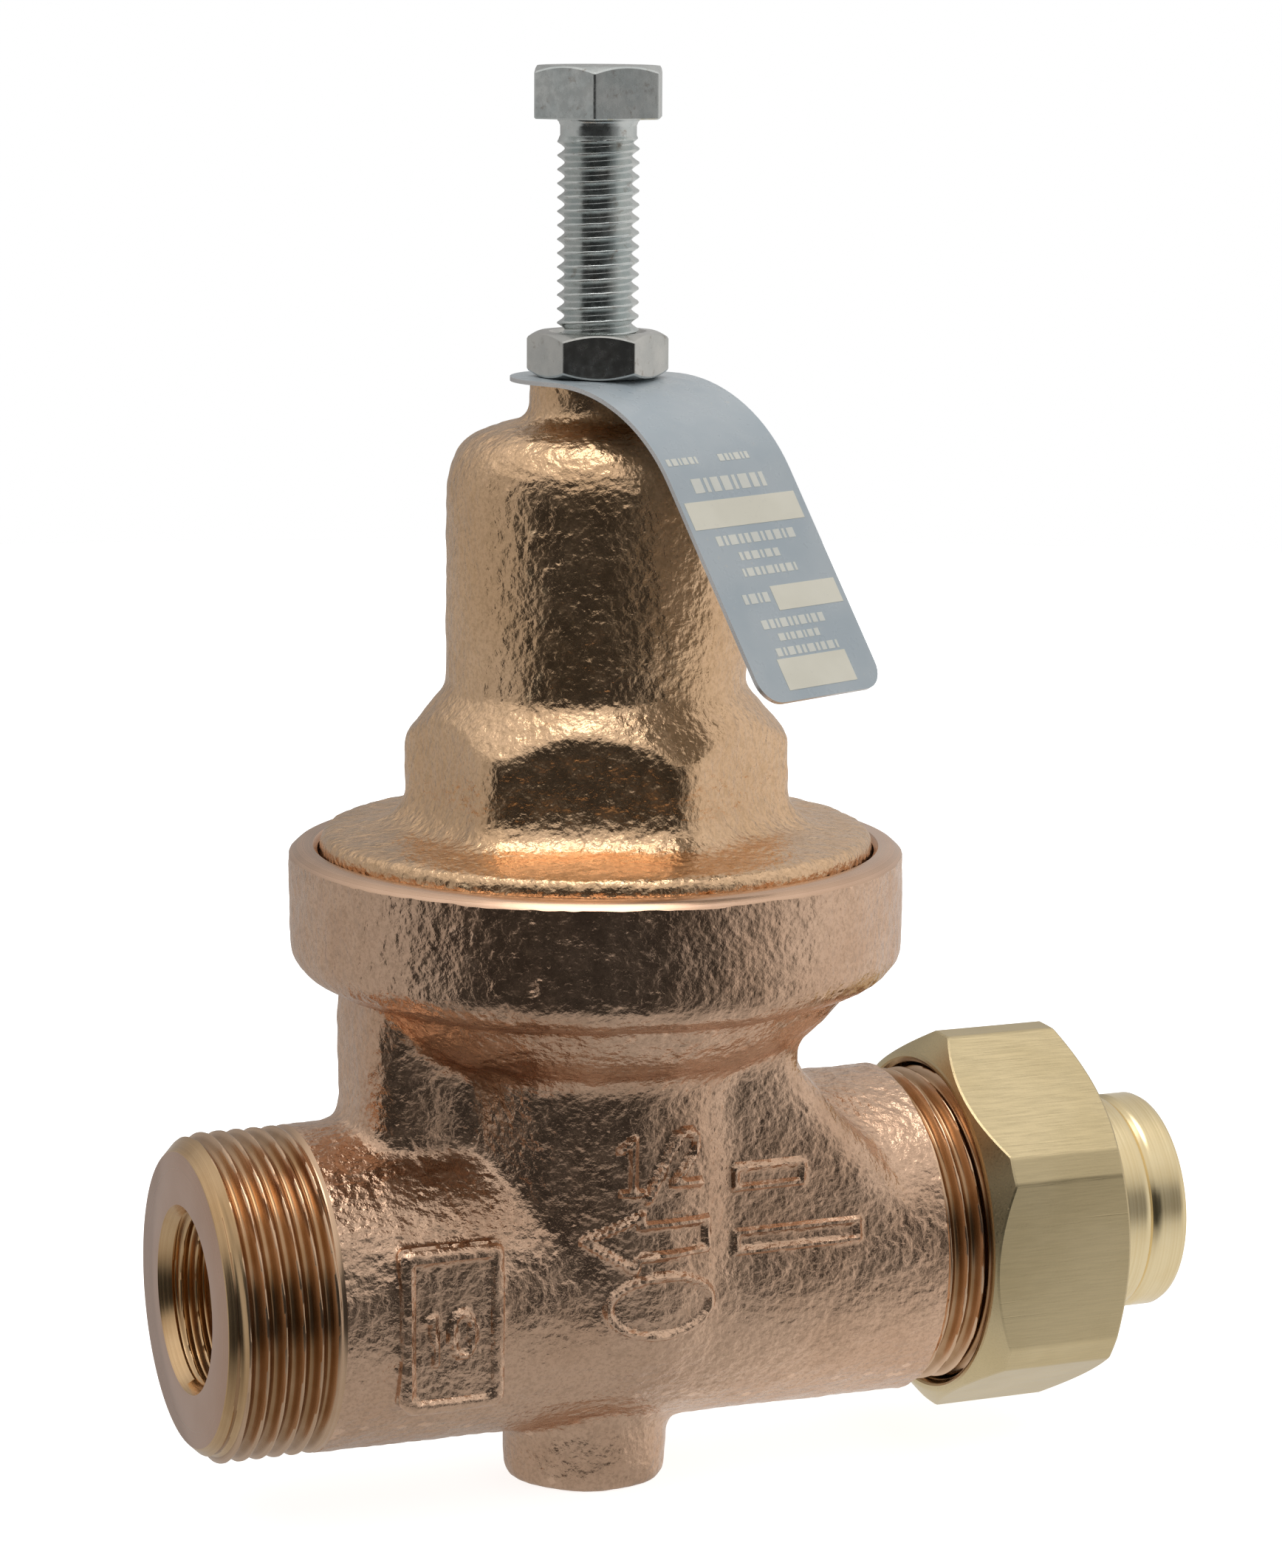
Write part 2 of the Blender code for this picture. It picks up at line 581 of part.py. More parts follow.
def make_seat_and_guides():
    """Seat bushing with its raised lip, its ring, the screen and the bush under the piston."""
    bushing = [
        (14.3, 21.0), (14.3, 18.3), (12.0, 18.3), (12.0, 16.4), (10.4, 16.4), (10.4, 13.9),
        (12.0, 13.9), (12.0, 12.0), (9.4, 12.0), (9.4, 14.0), (8.0, 14.0), (7.6, SEAT_LIP_Z),
        (SEAT_ORIFICE_R, SEAT_LIP_Z), (SEAT_ORIFICE_R, 19.0), (9.0, 21.0),
    ]
    turned("seat_bushing", bushing, PARTS, STEEL_BRIGHT, steps=STEPS_INNER, closed=True)
    o_ring("seat_o_ring", 11.35, 0.75, 15.15, RUBBER)
    turned("strainer_screen", ring_outline(11.5, 10.9, SCREEN_Z[1], SCREEN_Z[0]), PARTS, SCREEN_STEEL,
           steps=STEPS_INNER, closed=True)
    rest = SCREEN_Z[0] - GAP
    floor = LOWER_FLOOR + GAP
    foot = [(11.9, rest + 2.3), (11.9, floor), (7.6, floor), (7.6, rest), (11.7, rest), (11.7, rest + 2.3)]
    turned("screen_ring", foot, PARTS, PLASTIC, steps=STEPS_INNER, closed=True)
    turned("guide_bushing", ring_outline(GUIDE_BORE_R - 0.2, PISTON_R + 0.25, -12.4, -22.2),
           PARTS, PLASTIC, steps=STEPS_INNER, closed=True)


# ---------------------------------------------------------------- build
clear_scene()
PARTS = new_collection("pressure_reducing_valve")
CUTTERS = new_collection("cutters")

BRONZE = finish_for("cast_bronze", (0.62, 0.42, 0.32), 0.38, 1.0)
BRONZE_WARM = finish_for("cast_bronze_bonnet", (0.64, 0.46, 0.30), 0.36, 1.0)
NUT_BRASS = finish_for("union_brass", (0.72, 0.62, 0.36), 0.32, 1.0)
TAIL_BRASS = finish_for("tailpiece_brass", (0.82, 0.70, 0.42), 0.28, 1.0)
BRASS = finish_for("inner_brass", (0.74, 0.60, 0.34), 0.35, 1.0)
ZINC = finish_for("zinc_screw", (0.66, 0.70, 0.74), 0.30, 1.0)
ZINC_NUT = finish_for("zinc_nut", (0.62, 0.65, 0.68), 0.34, 1.0)
TAG_PAINT = finish_for("tag_blue", (0.36, 0.45, 0.55), 0.35, 0.6)
STEEL = finish_for("plated_steel", (0.55, 0.54, 0.50), 0.40, 1.0)
STEEL_BRIGHT = finish_for("stainless_steel", (0.66, 0.66, 0.67), 0.25, 1.0)
SPRING_STEEL = finish_for("spring_steel", (0.20, 0.20, 0.21), 0.40, 1.0)
SCREEN_STEEL = finish_for("screen_steel", (0.60, 0.60, 0.61), 0.35, 1.0)
RUBBER = finish_for("black_rubber", (0.02, 0.02, 0.02), 0.60, 0.0)
DIAPHRAGM_RUBBER = finish_for("diaphragm_rubber", (0.03, 0.03, 0.03), 0.65, 0.0)
PLASTIC = finish_for("guide_plastic", (0.80, 0.79, 0.74), 0.45, 0.0)

make_valve_body()
make_bonnet()
make_adjusting_screw()
make_lock_nut()
make_rating_tag()
make_union_nut()
make_tailpiece()
make_spring_button()
make_range_spring()
make_diaphragm_stack()
make_stem()
make_disc_and_piston()
make_seat_and_guides()
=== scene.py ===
# %% [markdown]
# # A pressure reducing valve, piece by piece
#
# This lesson dresses the CAD model of a screwed-bonnet reducing valve for half inch pipe. The CAD
# model stays as the fixed frame, and each step adds one visible piece on top of it.
#
# Everything is written in millimetres, as on a workshop drawing, and turned into metres only when a
# mesh is made. The origin is where the pipe's axis meets the spindle's axis: +X is the inlet with
# its union, -X is the outlet, -Y is the front and +Z runs up the adjusting screw.

import math

import bmesh
import bpy
import numpy as np
from mathutils import Matrix, Vector, noise


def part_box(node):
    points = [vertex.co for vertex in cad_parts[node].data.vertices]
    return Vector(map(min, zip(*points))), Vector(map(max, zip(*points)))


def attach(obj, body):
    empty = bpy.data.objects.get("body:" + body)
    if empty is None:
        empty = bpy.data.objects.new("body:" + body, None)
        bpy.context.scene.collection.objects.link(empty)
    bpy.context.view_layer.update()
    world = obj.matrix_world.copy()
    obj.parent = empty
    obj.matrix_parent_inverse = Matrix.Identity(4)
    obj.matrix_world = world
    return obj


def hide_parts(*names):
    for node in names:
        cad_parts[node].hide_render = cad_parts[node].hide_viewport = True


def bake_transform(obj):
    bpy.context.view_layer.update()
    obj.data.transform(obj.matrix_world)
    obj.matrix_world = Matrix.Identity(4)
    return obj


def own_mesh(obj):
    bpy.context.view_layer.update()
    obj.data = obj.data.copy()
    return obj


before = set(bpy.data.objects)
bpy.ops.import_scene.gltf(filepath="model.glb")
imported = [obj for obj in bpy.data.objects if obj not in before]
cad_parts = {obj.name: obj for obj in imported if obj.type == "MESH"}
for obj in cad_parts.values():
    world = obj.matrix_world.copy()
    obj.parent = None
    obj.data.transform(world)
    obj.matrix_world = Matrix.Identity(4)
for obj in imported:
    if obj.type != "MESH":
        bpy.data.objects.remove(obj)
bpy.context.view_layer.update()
SCENE = bpy.context.scene
MM = 0.001

# %% [markdown]
# ## Camera
#
# The valve is looked at from the front and a little from the outlet's side, from just above its
# middle. A long lens keeps the thread ends nearly round. The camera comes first, so that every
# later step can be looked at as soon as it is made.

# %% Camera
AIM = Vector((5.7, 0.0, 56.8)) * MM
AZIMUTH = math.radians(-22.3)
ELEVATION = math.radians(10.18)
DISTANCE = 0.5334
ROLL = math.radians(0.33)
LONG_LENS = 104.2

back = Vector((
    math.sin(AZIMUTH) * math.cos(ELEVATION),
    -math.cos(AZIMUTH) * math.cos(ELEVATION),
    math.sin(ELEVATION),
))
camera = bpy.data.objects.new("camera", bpy.data.cameras.new("camera"))
SCENE.collection.objects.link(camera)
camera.data.lens = LONG_LENS
camera.data.sensor_width = 36.0
camera.data.clip_start = 0.01
camera.location = AIM + back * DISTANCE
aimed = (-back).to_track_quat("-Z", "Y").to_matrix() @ Matrix.Rotation(ROLL, 3, "Z")
camera.rotation_euler = aimed.to_euler()
SCENE.camera = camera
print("camera stands at", [round(v, 3) for v in camera.location])

# %% [markdown]
# ## Studio
#
# Bare metal shows its surroundings more than its own colour, so the studio is planned as a set of
# reflections. It is a white tent with a dark opening where the camera stands: every surface that
# faces the camera turns dark brown, while the sides and the shoulders turn bright. Painting the
# tent into the world by direction is smoother and less noisy than hanging real lamps.

# %% Studio tent
TENT_LEFT, TENT_RIGHT, TENT_TOP, TENT_DARK = 0.42, 0.68, 0.78, 0.034
BRIGHTER_FROM = (math.radians(46), math.radians(92))
OVERHEAD, OVERHEAD_SPAN = 2.8, (0.93, 0.985)
REAR_FADE = (math.radians(110), math.radians(170))
WARM_WHITE = (1.0, 0.975, 0.95, 1.0)
OPENING_LEFT = (math.radians(-66), math.radians(-52))
OPENING_RIGHT = (math.radians(30), math.radians(50))
HALF_LIGHT, HALF_LIGHT_END = 0.50, (math.radians(50), math.radians(76))
OPENING_TOP = (0.26, 0.50)

world = bpy.data.worlds.new("studio_tent")
SCENE.world = world
world.use_nodes = True
SCENE.view_settings.view_transform = "Standard"
SCENE.view_settings.look = "None"
tent = world.node_tree
tent.nodes.clear()


def add(tree, kind, **values):
    """A shader node of a kind, with inputs set by name and settings by lower-case name."""
    node = tree.nodes.new("ShaderNode" + kind)
    for key, value in values.items():
        if key[0].islower():
            setattr(node, key, value)
    for key, value in values.items():
        if not key[0].islower():
            node.inputs[key.replace("_", " ")].default_value = value
    return node


def math_node(tree, operation, first, second=0.0):
    """One sum on two values, each of them a number or another node's output."""
    node = add(tree, "Math", operation=operation)
    for socket, value in zip(node.inputs, (first, second)):
        if isinstance(value, bpy.types.NodeSocket):
            tree.links.new(value, socket)
        else:
            socket.default_value = value
    return node.outputs[0]


def ramp_between(tree, value, low, high, at_low, at_high):
    """Turns the stretch from low to high into at_low to at_high, with soft ends."""
    node = add(tree, "MapRange", interpolation_type="SMOOTHSTEP")
    tree.links.new(value, node.inputs["Value"])
    for name, number in (("From Min", low), ("From Max", high), ("To Min", at_low), ("To Max", at_high)):
        node.inputs[name].default_value = number
    return node.outputs["Result"]


def swing_of(tree, place):
    """Angle round the valve, 0 towards the camera and positive to its right, and the turned axes."""
    faced = add(tree, "VectorRotate", rotation_type="Z_AXIS", Angle=-AZIMUTH)
    split = add(tree, "SeparateXYZ")
    tree.links.new(place, faced.inputs["Vector"])
    tree.links.new(faced.outputs["Vector"], split.inputs["Vector"])
    forward = math_node(tree, "MULTIPLY", split.outputs["Y"], -1.0)
    return math_node(tree, "ARCTAN2", split.outputs["X"], forward), split.outputs["Z"]


def dark_share(tree, swing):
    """1 inside the tent's opening, 0 outside it: sharp on the left, half lit towards the right."""
    left = ramp_between(tree, swing, *OPENING_LEFT, 0.0, 1.0)
    right = ramp_between(tree, swing, *OPENING_RIGHT, 1.0, HALF_LIGHT)
    end = ramp_between(tree, swing, *HALF_LIGHT_END, 1.0, 0.0)
    return math_node(tree, "MULTIPLY", left, math_node(tree, "MULTIPLY", right, end))


swing, height = swing_of(tent, add(tent, "TexCoord").outputs["Generated"])
under_top = ramp_between(tent, height, *OPENING_TOP, 1.0, 0.0)
opening = math_node(tent, "MULTIPLY", dark_share(tent, swing), under_top)
side = ramp_between(tent, swing, *BRIGHTER_FROM, TENT_LEFT, TENT_RIGHT)
climb = ramp_between(tent, height, 0.25, 0.85, 0.0, 1.0)
to_top = math_node(tent, "MULTIPLY", climb, math_node(tent, "SUBTRACT", TENT_TOP, side))
overhead = ramp_between(tent, height, *OVERHEAD_SPAN, 0.0, OVERHEAD)
lift = math_node(tent, "ADD", math_node(tent, "ADD", side, to_top), overhead)
aside = math_node(tent, "ABSOLUTE", swing)
rear = ramp_between(tent, aside, *REAR_FADE, 1.0, 0.75)
lit = math_node(tent, "MULTIPLY", lift, rear)
shade = math_node(tent, "MULTIPLY", math_node(tent, "SUBTRACT", 1.0, opening), lit)
strength = math_node(tent, "ADD", shade, TENT_DARK)
white = add(tent, "Background", Color=(1.0, 1.0, 1.0, 1.0), Strength=1.0)
tent_light = add(tent, "Background", Color=WARM_WHITE)
tent.links.new(strength, tent_light.inputs["Strength"])
seen = add(tent, "LightPath")
choose = add(tent, "MixShader")
tent.links.new(seen.outputs["Is Camera Ray"], choose.inputs[0])
tent.links.new(tent_light.outputs[0], choose.inputs[1])
tent.links.new(white.outputs[0], choose.inputs[2])
tent.links.new(choose.outputs[0], add(tent, "OutputWorld").inputs["Surface"])
print("tent nodes:", len(tent.nodes))

# %% [markdown]
# ## Mesh helpers
#
# Nearly every piece of a valve is turned, milled or cast. Three small tools cover them: one spins a
# profile and may cut a thread into it, one walks round a shape whose radius changes with the angle,
# such as a nut, and one lays a flat outline out as a block.

# %% From points to a piece
def placed(name, mesh):
    """An object that shows the mesh, linked to the scene."""
    made = bpy.data.objects.new(name, mesh)
    SCENE.collection.objects.link(made)
    return made


def piece_from(name, points, faces):
    """A closed piece from points in millimetres, with its normals turned outwards."""
    mesh = bpy.data.meshes.new(name)
    mesh.from_pydata((np.asarray(points, float) * MM).tolist(), [], faces)
    work = bmesh.new()
    work.from_mesh(mesh)
    bmesh.ops.remove_doubles(work, verts=work.verts, dist=1e-7)
    bmesh.ops.recalc_face_normals(work, faces=work.faces)
    work.to_mesh(mesh)
    work.free()
    return placed(name, mesh)


def spin(name, turns, columns, along_x=False, closed=False):
    """Joins columns of (radius, height) points, one column for each angle in turns."""
    columns = np.asarray(columns, float)
    count, rows = columns.shape[:2]
    u = columns[:, :, 0] * np.cos(turns)[:, None]
    v = columns[:, :, 0] * np.sin(turns)[:, None]
    h = columns[:, :, 1]
    points = np.stack((h, u, v) if along_x else (u, v, h), axis=2).reshape(-1, 3)
    last = rows if closed else rows - 1
    faces = []
    for i in range(count):
        j = (i + 1) % count
        for k in range(last):
            m = (k + 1) % rows
            faces.append((i * rows + k, j * rows + k, j * rows + m, i * rows + m))
    return piece_from(name, points, faces)


# %% Profiles
def refined(profile, step):
    """The same profile with a point at least every step along it."""
    dense = [tuple(profile[0])]
    for a, b in zip(profile, profile[1:]):
        parts = max(1, math.ceil(math.dist(a, b) / step))
        for i in range(1, parts + 1):
            dense.append(tuple(here + (there - here) * i / parts for here, there in zip(a, b)))
    return dense


def eased(profile, ease, closed=False):
    """The same profile with each corner cut back by a small flat, as a deburred edge has."""
    made = []
    count = len(profile)
    for i, point in enumerate(profile):
        if not closed and i in (0, count - 1):
            made.append(point)
            continue
        for other in (profile[i - 1], profile[(i + 1) % count]):
            reach = math.dist(point, other)
            share = min(ease, reach * 0.3) / reach
            made.append(tuple(here + (there - here) * share for here, there in zip(point, other)))
    return made


def turned(name, profile, sides=128, along_x=False, closed=False, thread=None):
    """Spins one profile. thread(radius, height, angle) gives the radius where a thread is cut."""
    turns = np.arange(sides) * 2 * math.pi / sides
    column = np.asarray(profile, float)
    columns = np.repeat(column[None], sides, axis=0)
    if thread:
        columns[:, :, 0] = thread(columns[:, :, 0], columns[:, :, 1], turns[:, None])
    return spin(name, turns, columns, along_x, closed)


# %% Blocks
def block_from(name, outline, low, high, plane="XY"):
    """A block on a flat outline, from low to high across it."""
    order = {"XY": (0, 1, 2), "XZ": (0, 2, 1)}[plane]
    count = len(outline)
    points = []
    for level in (low, high):
        for u, v in outline:
            points.append([(u, v, level)[i] for i in order])
    faces = [tuple(range(count)), tuple(range(count, 2 * count))]
    for i in range(count):
        j = (i + 1) % count
        faces.append((i, j, j + count, i + count))
    return piece_from(name, points, faces)


# %% [markdown]
# ## Casting helpers
#
# Sand-cast metal has no sharp inside corners, and its skin is rough like orange peel. A casting is
# modelled as a pattern maker builds it: plain forms are put together, one skin is drawn over them
# all, the skin is rubbed smooth until the corners fill, and only then are the machined faces cut.
# That order keeps the cut edges crisp against the soft ones.

# %% One skin over several forms
def settle(piece):
    """Applies the piece's modifiers."""
    graph = bpy.context.evaluated_depsgraph_get()
    mesh = bpy.data.meshes.new_from_object(piece.evaluated_get(graph))
    piece.modifiers.clear()
    piece.data = mesh
    return piece


def join_pieces(name, pieces):
    """Several meshes as one piece."""
    work = bmesh.new()
    for part in pieces:
        work.from_mesh(part.data)
        bpy.data.objects.remove(part)
    mesh = bpy.data.meshes.new(name)
    work.to_mesh(mesh)
    work.free()
    return placed(name, mesh)


def one_skin(name, forms, cell):
    """Draws a single skin of small faces over closed forms that overlap."""
    made = join_pieces(name, forms)
    skin = made.modifiers.new("skin", "REMESH")
    skin.mode = "VOXEL"
    skin.voxel_size = cell * MM
    return settle(made)


# %% Places and normals
def read_out(items, key, width=3, kind=np.float32):
    """One property of every vertex, edge or face, a row for each."""
    flat = np.empty(len(items) * width, kind)
    items.foreach_get(key, flat)
    return flat.reshape(-1, width)


def places_of(piece):
    """The piece's vertices in millimetres."""
    return read_out(piece.data.vertices, "co").astype(float) / MM


def normals_of(piece):
    return read_out(piece.data.vertex_normals, "vector").astype(float)


def off_axis(places):
    """Distance from the adjusting screw's axis."""
    return np.hypot(places[:, 0], places[:, 1])


def off_run(places):
    """Distance from the pipe's axis."""
    return np.hypot(places[:, 1], places[:, 2])


def put_places(piece, places):
    """Moves the vertices to places given in millimetres."""
    piece.data.vertices.foreach_set("co", (places * MM).astype(np.float32).ravel())
    piece.data.update()


# %% Rub smooth
def rub_smooth(piece, passes, weight):
    """Moves each vertex towards its neighbours' middle; weight(places) says how far, 0 to 1."""
    ends = read_out(piece.data.edges, "vertices", 2, np.int32)
    starts = np.concatenate((ends[:, 0], ends[:, 1]))
    stops = np.concatenate((ends[:, 1], ends[:, 0]))
    count = len(piece.data.vertices)
    share = np.maximum(np.bincount(starts, minlength=count), 1)
    places = places_of(piece)
    pull = 0.5 * weight(places)
    for _ in range(passes):
        for axis in range(3):
            middle = np.bincount(starts, weights=places[stops, axis], minlength=count) / share
            places[:, axis] += pull * (middle - places[:, axis])
    put_places(piece, places)


# %% Rough skin
def roughen(piece, height, size, seed):
    """Raises and lowers the skin by a smooth random relief with humps of about the given size."""
    places = places_of(piece)
    offset = Vector((seed * 7.3, seed * 3.1, seed * 5.7))
    relief = np.array([noise.noise(Vector(p) / size + offset) for p in places.tolist()])
    put_places(piece, places + normals_of(piece) * (relief * height)[:, None])


# %% Raised marks
def raise_strokes(piece, strokes, height, width):
    """Raises ribs along strokes drawn on the front, as (x, z) points joined by straight lines."""
    places = places_of(piece)
    normals = normals_of(piece)
    near = np.where(normals[:, 1] < -0.25)[0]
    flat = places[near][:, (0, 2)]
    closest = np.full(len(near), 1e9)
    for stroke in strokes:
        for a, b in zip(stroke, stroke[1:]):
            a = np.array(a, float)
            run = np.array(b, float) - a
            share = np.clip(((flat - a) @ run) / max(run @ run, 1e-9), 0, 1)
            closest = np.minimum(closest, np.linalg.norm(flat - a - share[:, None] * run, axis=1))
    rise = np.clip((width - closest) / (0.62 * width), 0, 1)
    rise = rise * rise * (3 - 2 * rise)
    places[near] += normals[near] * (height * rise)[:, None]
    put_places(piece, places)


# %% Machining
def carve(piece, tool):
    """Cuts the tool's shape out of the piece and throws the tool away."""
    before = len(piece.data.polygons)
    cut = piece.modifiers.new("cut", "BOOLEAN")
    cut.operation = "DIFFERENCE"
    cut.solver = "MANIFOLD"
    cut.object = tool
    settle(piece)
    if len(piece.data.polygons) in (0, before):
        print("the cut by", tool.name, "changed nothing")
    bpy.data.objects.remove(tool)
    return piece


def coat(piece, *finishes):
    """Clears any old material slots and gives the whole piece the first finish."""
    piece.data.materials.clear()
    for finish in finishes:
        piece.data.materials.append(finish)
    piece.data.polygons.foreach_set("material_index", np.zeros(len(piece.data.polygons), np.int32))
    return piece


def crisp(piece, angle):
    """Smooth shading, with edges sharper than the angle kept crisp."""
    piece.data.shade_smooth()
    piece.data.set_sharp_from_angle(angle=math.radians(angle))
    return piece


def paint_faces(piece, index, test):
    """Gives material number index to the faces whose middle and normal pass the test."""
    faces = piece.data.polygons
    chosen = test(read_out(faces, "center") / MM, read_out(faces, "normal"))
    slots = read_out(faces, "material_index", 1, np.int32).ravel()
    slots[chosen] = index
    faces.foreach_set("material_index", slots)
    print(piece.name, "faces with finish", index, "are", int(chosen.sum()), "of", len(faces))


# %% [markdown]
# ## Thread helper
#
# A screw thread is one ridge that climbs as it goes round. The radius at any point follows from how
# far along the axis it is and how far round it is, so a fine turned mesh can carry a true helix
# without any sweeping. Each ridge has a narrow flat on top, a higher power makes its root wider,
# and it fades out where the tool leaves the metal.

# %% Threads
def ridge_at(height, turn, pitch, power):
    """1 on the ridge's crest and 0 at its root."""
    phase = (height / pitch - turn / (2 * math.pi)) % 1.0
    shape = np.clip(1.12 - 1.12 * np.abs(2 * phase - 1) * 1.05, 0, 1)
    return shape ** power


def fading(height, low, high, fade_low, fade_high):
    """1 along the thread and 0 past its ends, with a slope at either end."""
    rise = np.clip((height - low) / fade_low, 0, 1)
    fall = np.clip((high - height) / fade_high, 0, 1)
    return rise * fall


def outside_thread(major, depth, pitch, low, high, fade_low, fade_high, limit, power=1.0):
    """A rule for turned(): cuts a thread into every point further out than limit."""
    def rule(radius, height, turn):
        deep = depth * fading(height, low, high, fade_low, fade_high)
        wanted = major - deep * (1 - ridge_at(height, turn, pitch, power))
        return np.where(radius > limit, np.minimum(radius, wanted), radius)
    return rule


def inside_thread(depth, pitch, low, high, fade, limit, power=1.0):
    """A rule for turned(): cuts a thread outwards into every point nearer the axis than limit."""
    def rule(radius, height, turn):
        deep = depth * fading(height, low, high, fade, fade)
        wanted = radius + deep * (1 - ridge_at(height, turn, pitch, power))
        return np.where(radius < limit, wanted, radius)
    return rule


def both(first, second):
    """One thread rule after another."""
    return lambda radius, height, turn: second(first(radius, height, turn), height, turn)


# %% [markdown]
# ## Finish helpers
#
# Each finish is built from the same few ingredients: a base shader, patches of colour, patches of
# roughness, and relief at two or three sizes. Sizes are given in millimetres of the real surface,
# because the texture space is the piece's own space in metres.

# %% Finish helpers
def new_finish(name, colour, roughness, metallic, **sockets):
    """A material with the constant values set on the shader's own sockets."""
    made = bpy.data.materials.new(name)
    made.use_nodes = True
    shader = made.node_tree.nodes["Principled BSDF"]
    shader.inputs["Base Color"].default_value = (*colour, 1.0)
    shader.inputs["Roughness"].default_value = roughness
    shader.inputs["Metallic"].default_value = metallic
    for key, value in sockets.items():
        shader.inputs[key.replace("_", " ")].default_value = value
    return made, made.node_tree, shader


def own_space(tree, stretch=(1.0, 1.0, 1.0)):
    """The piece's own space, stretched where the marks on the metal run one way."""
    place = add(tree, "TexCoord")
    scaled = add(tree, "Mapping", vector_type="POINT")
    scaled.inputs["Scale"].default_value = stretch
    tree.links.new(place.outputs["Object"], scaled.inputs["Vector"])
    return scaled.outputs["Vector"]


def lathe_space(tree, along_x):
    """Distance from the axis and distance along it, so that marks run round as a tool leaves them."""
    place = add(tree, "TexCoord")
    flat = add(tree, "VectorMath", operation="MULTIPLY")
    flat.inputs[1].default_value = (0.0, 1.0, 1.0) if along_x else (1.0, 1.0, 0.0)
    size = add(tree, "VectorMath", operation="LENGTH")
    parts = add(tree, "SeparateXYZ")
    made = add(tree, "CombineXYZ")
    tree.links.new(place.outputs["Object"], flat.inputs[0])
    tree.links.new(flat.outputs["Vector"], size.inputs[0])
    tree.links.new(place.outputs["Object"], parts.inputs["Vector"])
    tree.links.new(size.outputs["Value"], made.inputs["X"])
    tree.links.new(parts.outputs["X" if along_x else "Z"], made.inputs["Y"])
    return made.outputs["Vector"]


def patches(tree, space, size, detail=2.0, roughness=0.5):
    """Soft random patches of about the given size in millimetres, from 0 to 1."""
    node = add(tree, "TexNoise", Scale=1.0 / (size * MM), Detail=detail, Roughness=roughness)
    tree.links.new(space, node.inputs["Vector"])
    return node.outputs[0]


def spots(tree, space, size):
    """Distance to scattered points about size apart, 0 at each point."""
    node = add(tree, "TexVoronoi", Scale=1.0 / (size * MM))
    tree.links.new(space, node.inputs["Vector"])
    return node.outputs["Distance"]


def two_colours(tree, factor, first, second):
    """Mixes two colours, or two nodes' colours, by a factor."""
    node = add(tree, "Mix", data_type="RGBA")
    tree.links.new(factor, node.inputs[0])
    for socket, value in ((node.inputs[6], first), (node.inputs[7], second)):
        if isinstance(value, bpy.types.NodeSocket):
            tree.links.new(value, socket)
        else:
            socket.default_value = (*value, 1.0)
    return node.outputs[2]


def drifting(tree, space, size, light, dark, high=0.70, detail=3.0):
    """A colour that drifts from light to dark in broad patches of about the given size."""
    broad = ramp_between(tree, patches(tree, space, size, detail), 0.35, high, 0.0, 1.0)
    return two_colours(tree, broad, light, dark)


def relief(tree, height, depth, strength, under=None):
    """Bump of a depth in millimetres, laid over another bump."""
    node = add(tree, "Bump", Strength=strength, Distance=depth * MM)
    tree.links.new(height, node.inputs["Height"])
    if under is not None:
        tree.links.new(under, node.inputs["Normal"])
    return node.outputs["Normal"]


def curvature_of(tree):
    """0.5 on flat metal, more on ridges and less in corners."""
    return add(tree, "NewGeometry").outputs["Pointiness"]


def wired(finish, colour, roughness, normal):
    """The finish with its last colour, roughness and relief led into the shader."""
    made, tree, shader = finish
    for name, value in (("Base Color", colour), ("Roughness", roughness), ("Normal", normal)):
        tree.links.new(value, shader.inputs[name])
    return made


# %% [markdown]
# ## Cast bronze
#
# The body and the bonnet are bead-blasted bronze castings. The skin has grains about a millimetre
# across and lazy waves a few millimetres long. Its colour drifts between pink and tan, corners are
# painted darker brown, partly as tarnish and partly as painted shade, and ridges are rubbed brighter.
# The bonnet is the same metal with a yellower tint, so one function makes both.

# %% Cast bronze
def cast_bronze(name, light, dark, stain_and_shade):
    finish = new_finish(name, light, 0.3, 1.0)
    tree = finish[1]
    space = own_space(tree)
    tint = drifting(tree, space, 14.0, light, dark, 0.68)
    small = ramp_between(tree, patches(tree, space, 1.1, 4.0, 0.65), 0.30, 0.52, 0.35, 0.0)
    speckle = ramp_between(tree, patches(tree, space, 0.45, 3.0, 0.6), 0.36, 0.55, 0.32, 0.0)
    mottled = two_colours(tree, math_node(tree, "MAXIMUM", small, speckle), tint, stain_and_shade)
    curvature = curvature_of(tree)
    # Painted shade: corners, found by the mesh's curvature, are darkened towards the third colour, standing
    # in for shade as well as brown tarnish.
    corners = ramp_between(tree, curvature, 0.41, 0.49, 0.4, 0.0)
    shade_in_corners = two_colours(tree, corners, mottled, stain_and_shade)
    ridges = ramp_between(tree, curvature, 0.515, 0.58, 0.0, 0.7)
    bright = two_colours(tree, ridges, shade_in_corners, tuple(min(1.0, c * 1.2) for c in light))
    dull = ramp_between(tree, patches(tree, space, 2.4, 4.0, 0.6), 0.3, 0.7, 0.20, 0.33)
    waves = relief(tree, patches(tree, space, 3.4, 2.0), 0.5, 0.26)
    sand = relief(tree, patches(tree, space, 0.85, 3.0, 0.5), 0.30, 0.80, waves)
    pits = ramp_between(tree, spots(tree, space, 1.5), 0.0, 0.30, 0.0, 1.0)
    return wired(finish, bright, dull, relief(tree, pits, 0.12, 0.40, sand))


# The third colour of each bronze is its brown tarnish and also the painted shade in its corners.
BODY_BRONZE = cast_bronze("body_bronze", (0.80, 0.55, 0.39), (0.72, 0.475, 0.325), (0.33, 0.22, 0.145))
BONNET_BRONZE = cast_bronze("bonnet_bronze", (0.88, 0.60, 0.375), (0.80, 0.53, 0.315), (0.38, 0.25, 0.13))
print("cast finishes:", BODY_BRONZE.name, BONNET_BRONZE.name)


# %% [markdown]
# ## Machined metal
#
# Faces that have been turned show fine rings from the tool and a cleaner, deeper colour. The marks
# only look right if they run round the axis, so the texture is laid in lathe space: distance from
# the axis one way, distance along it the other.

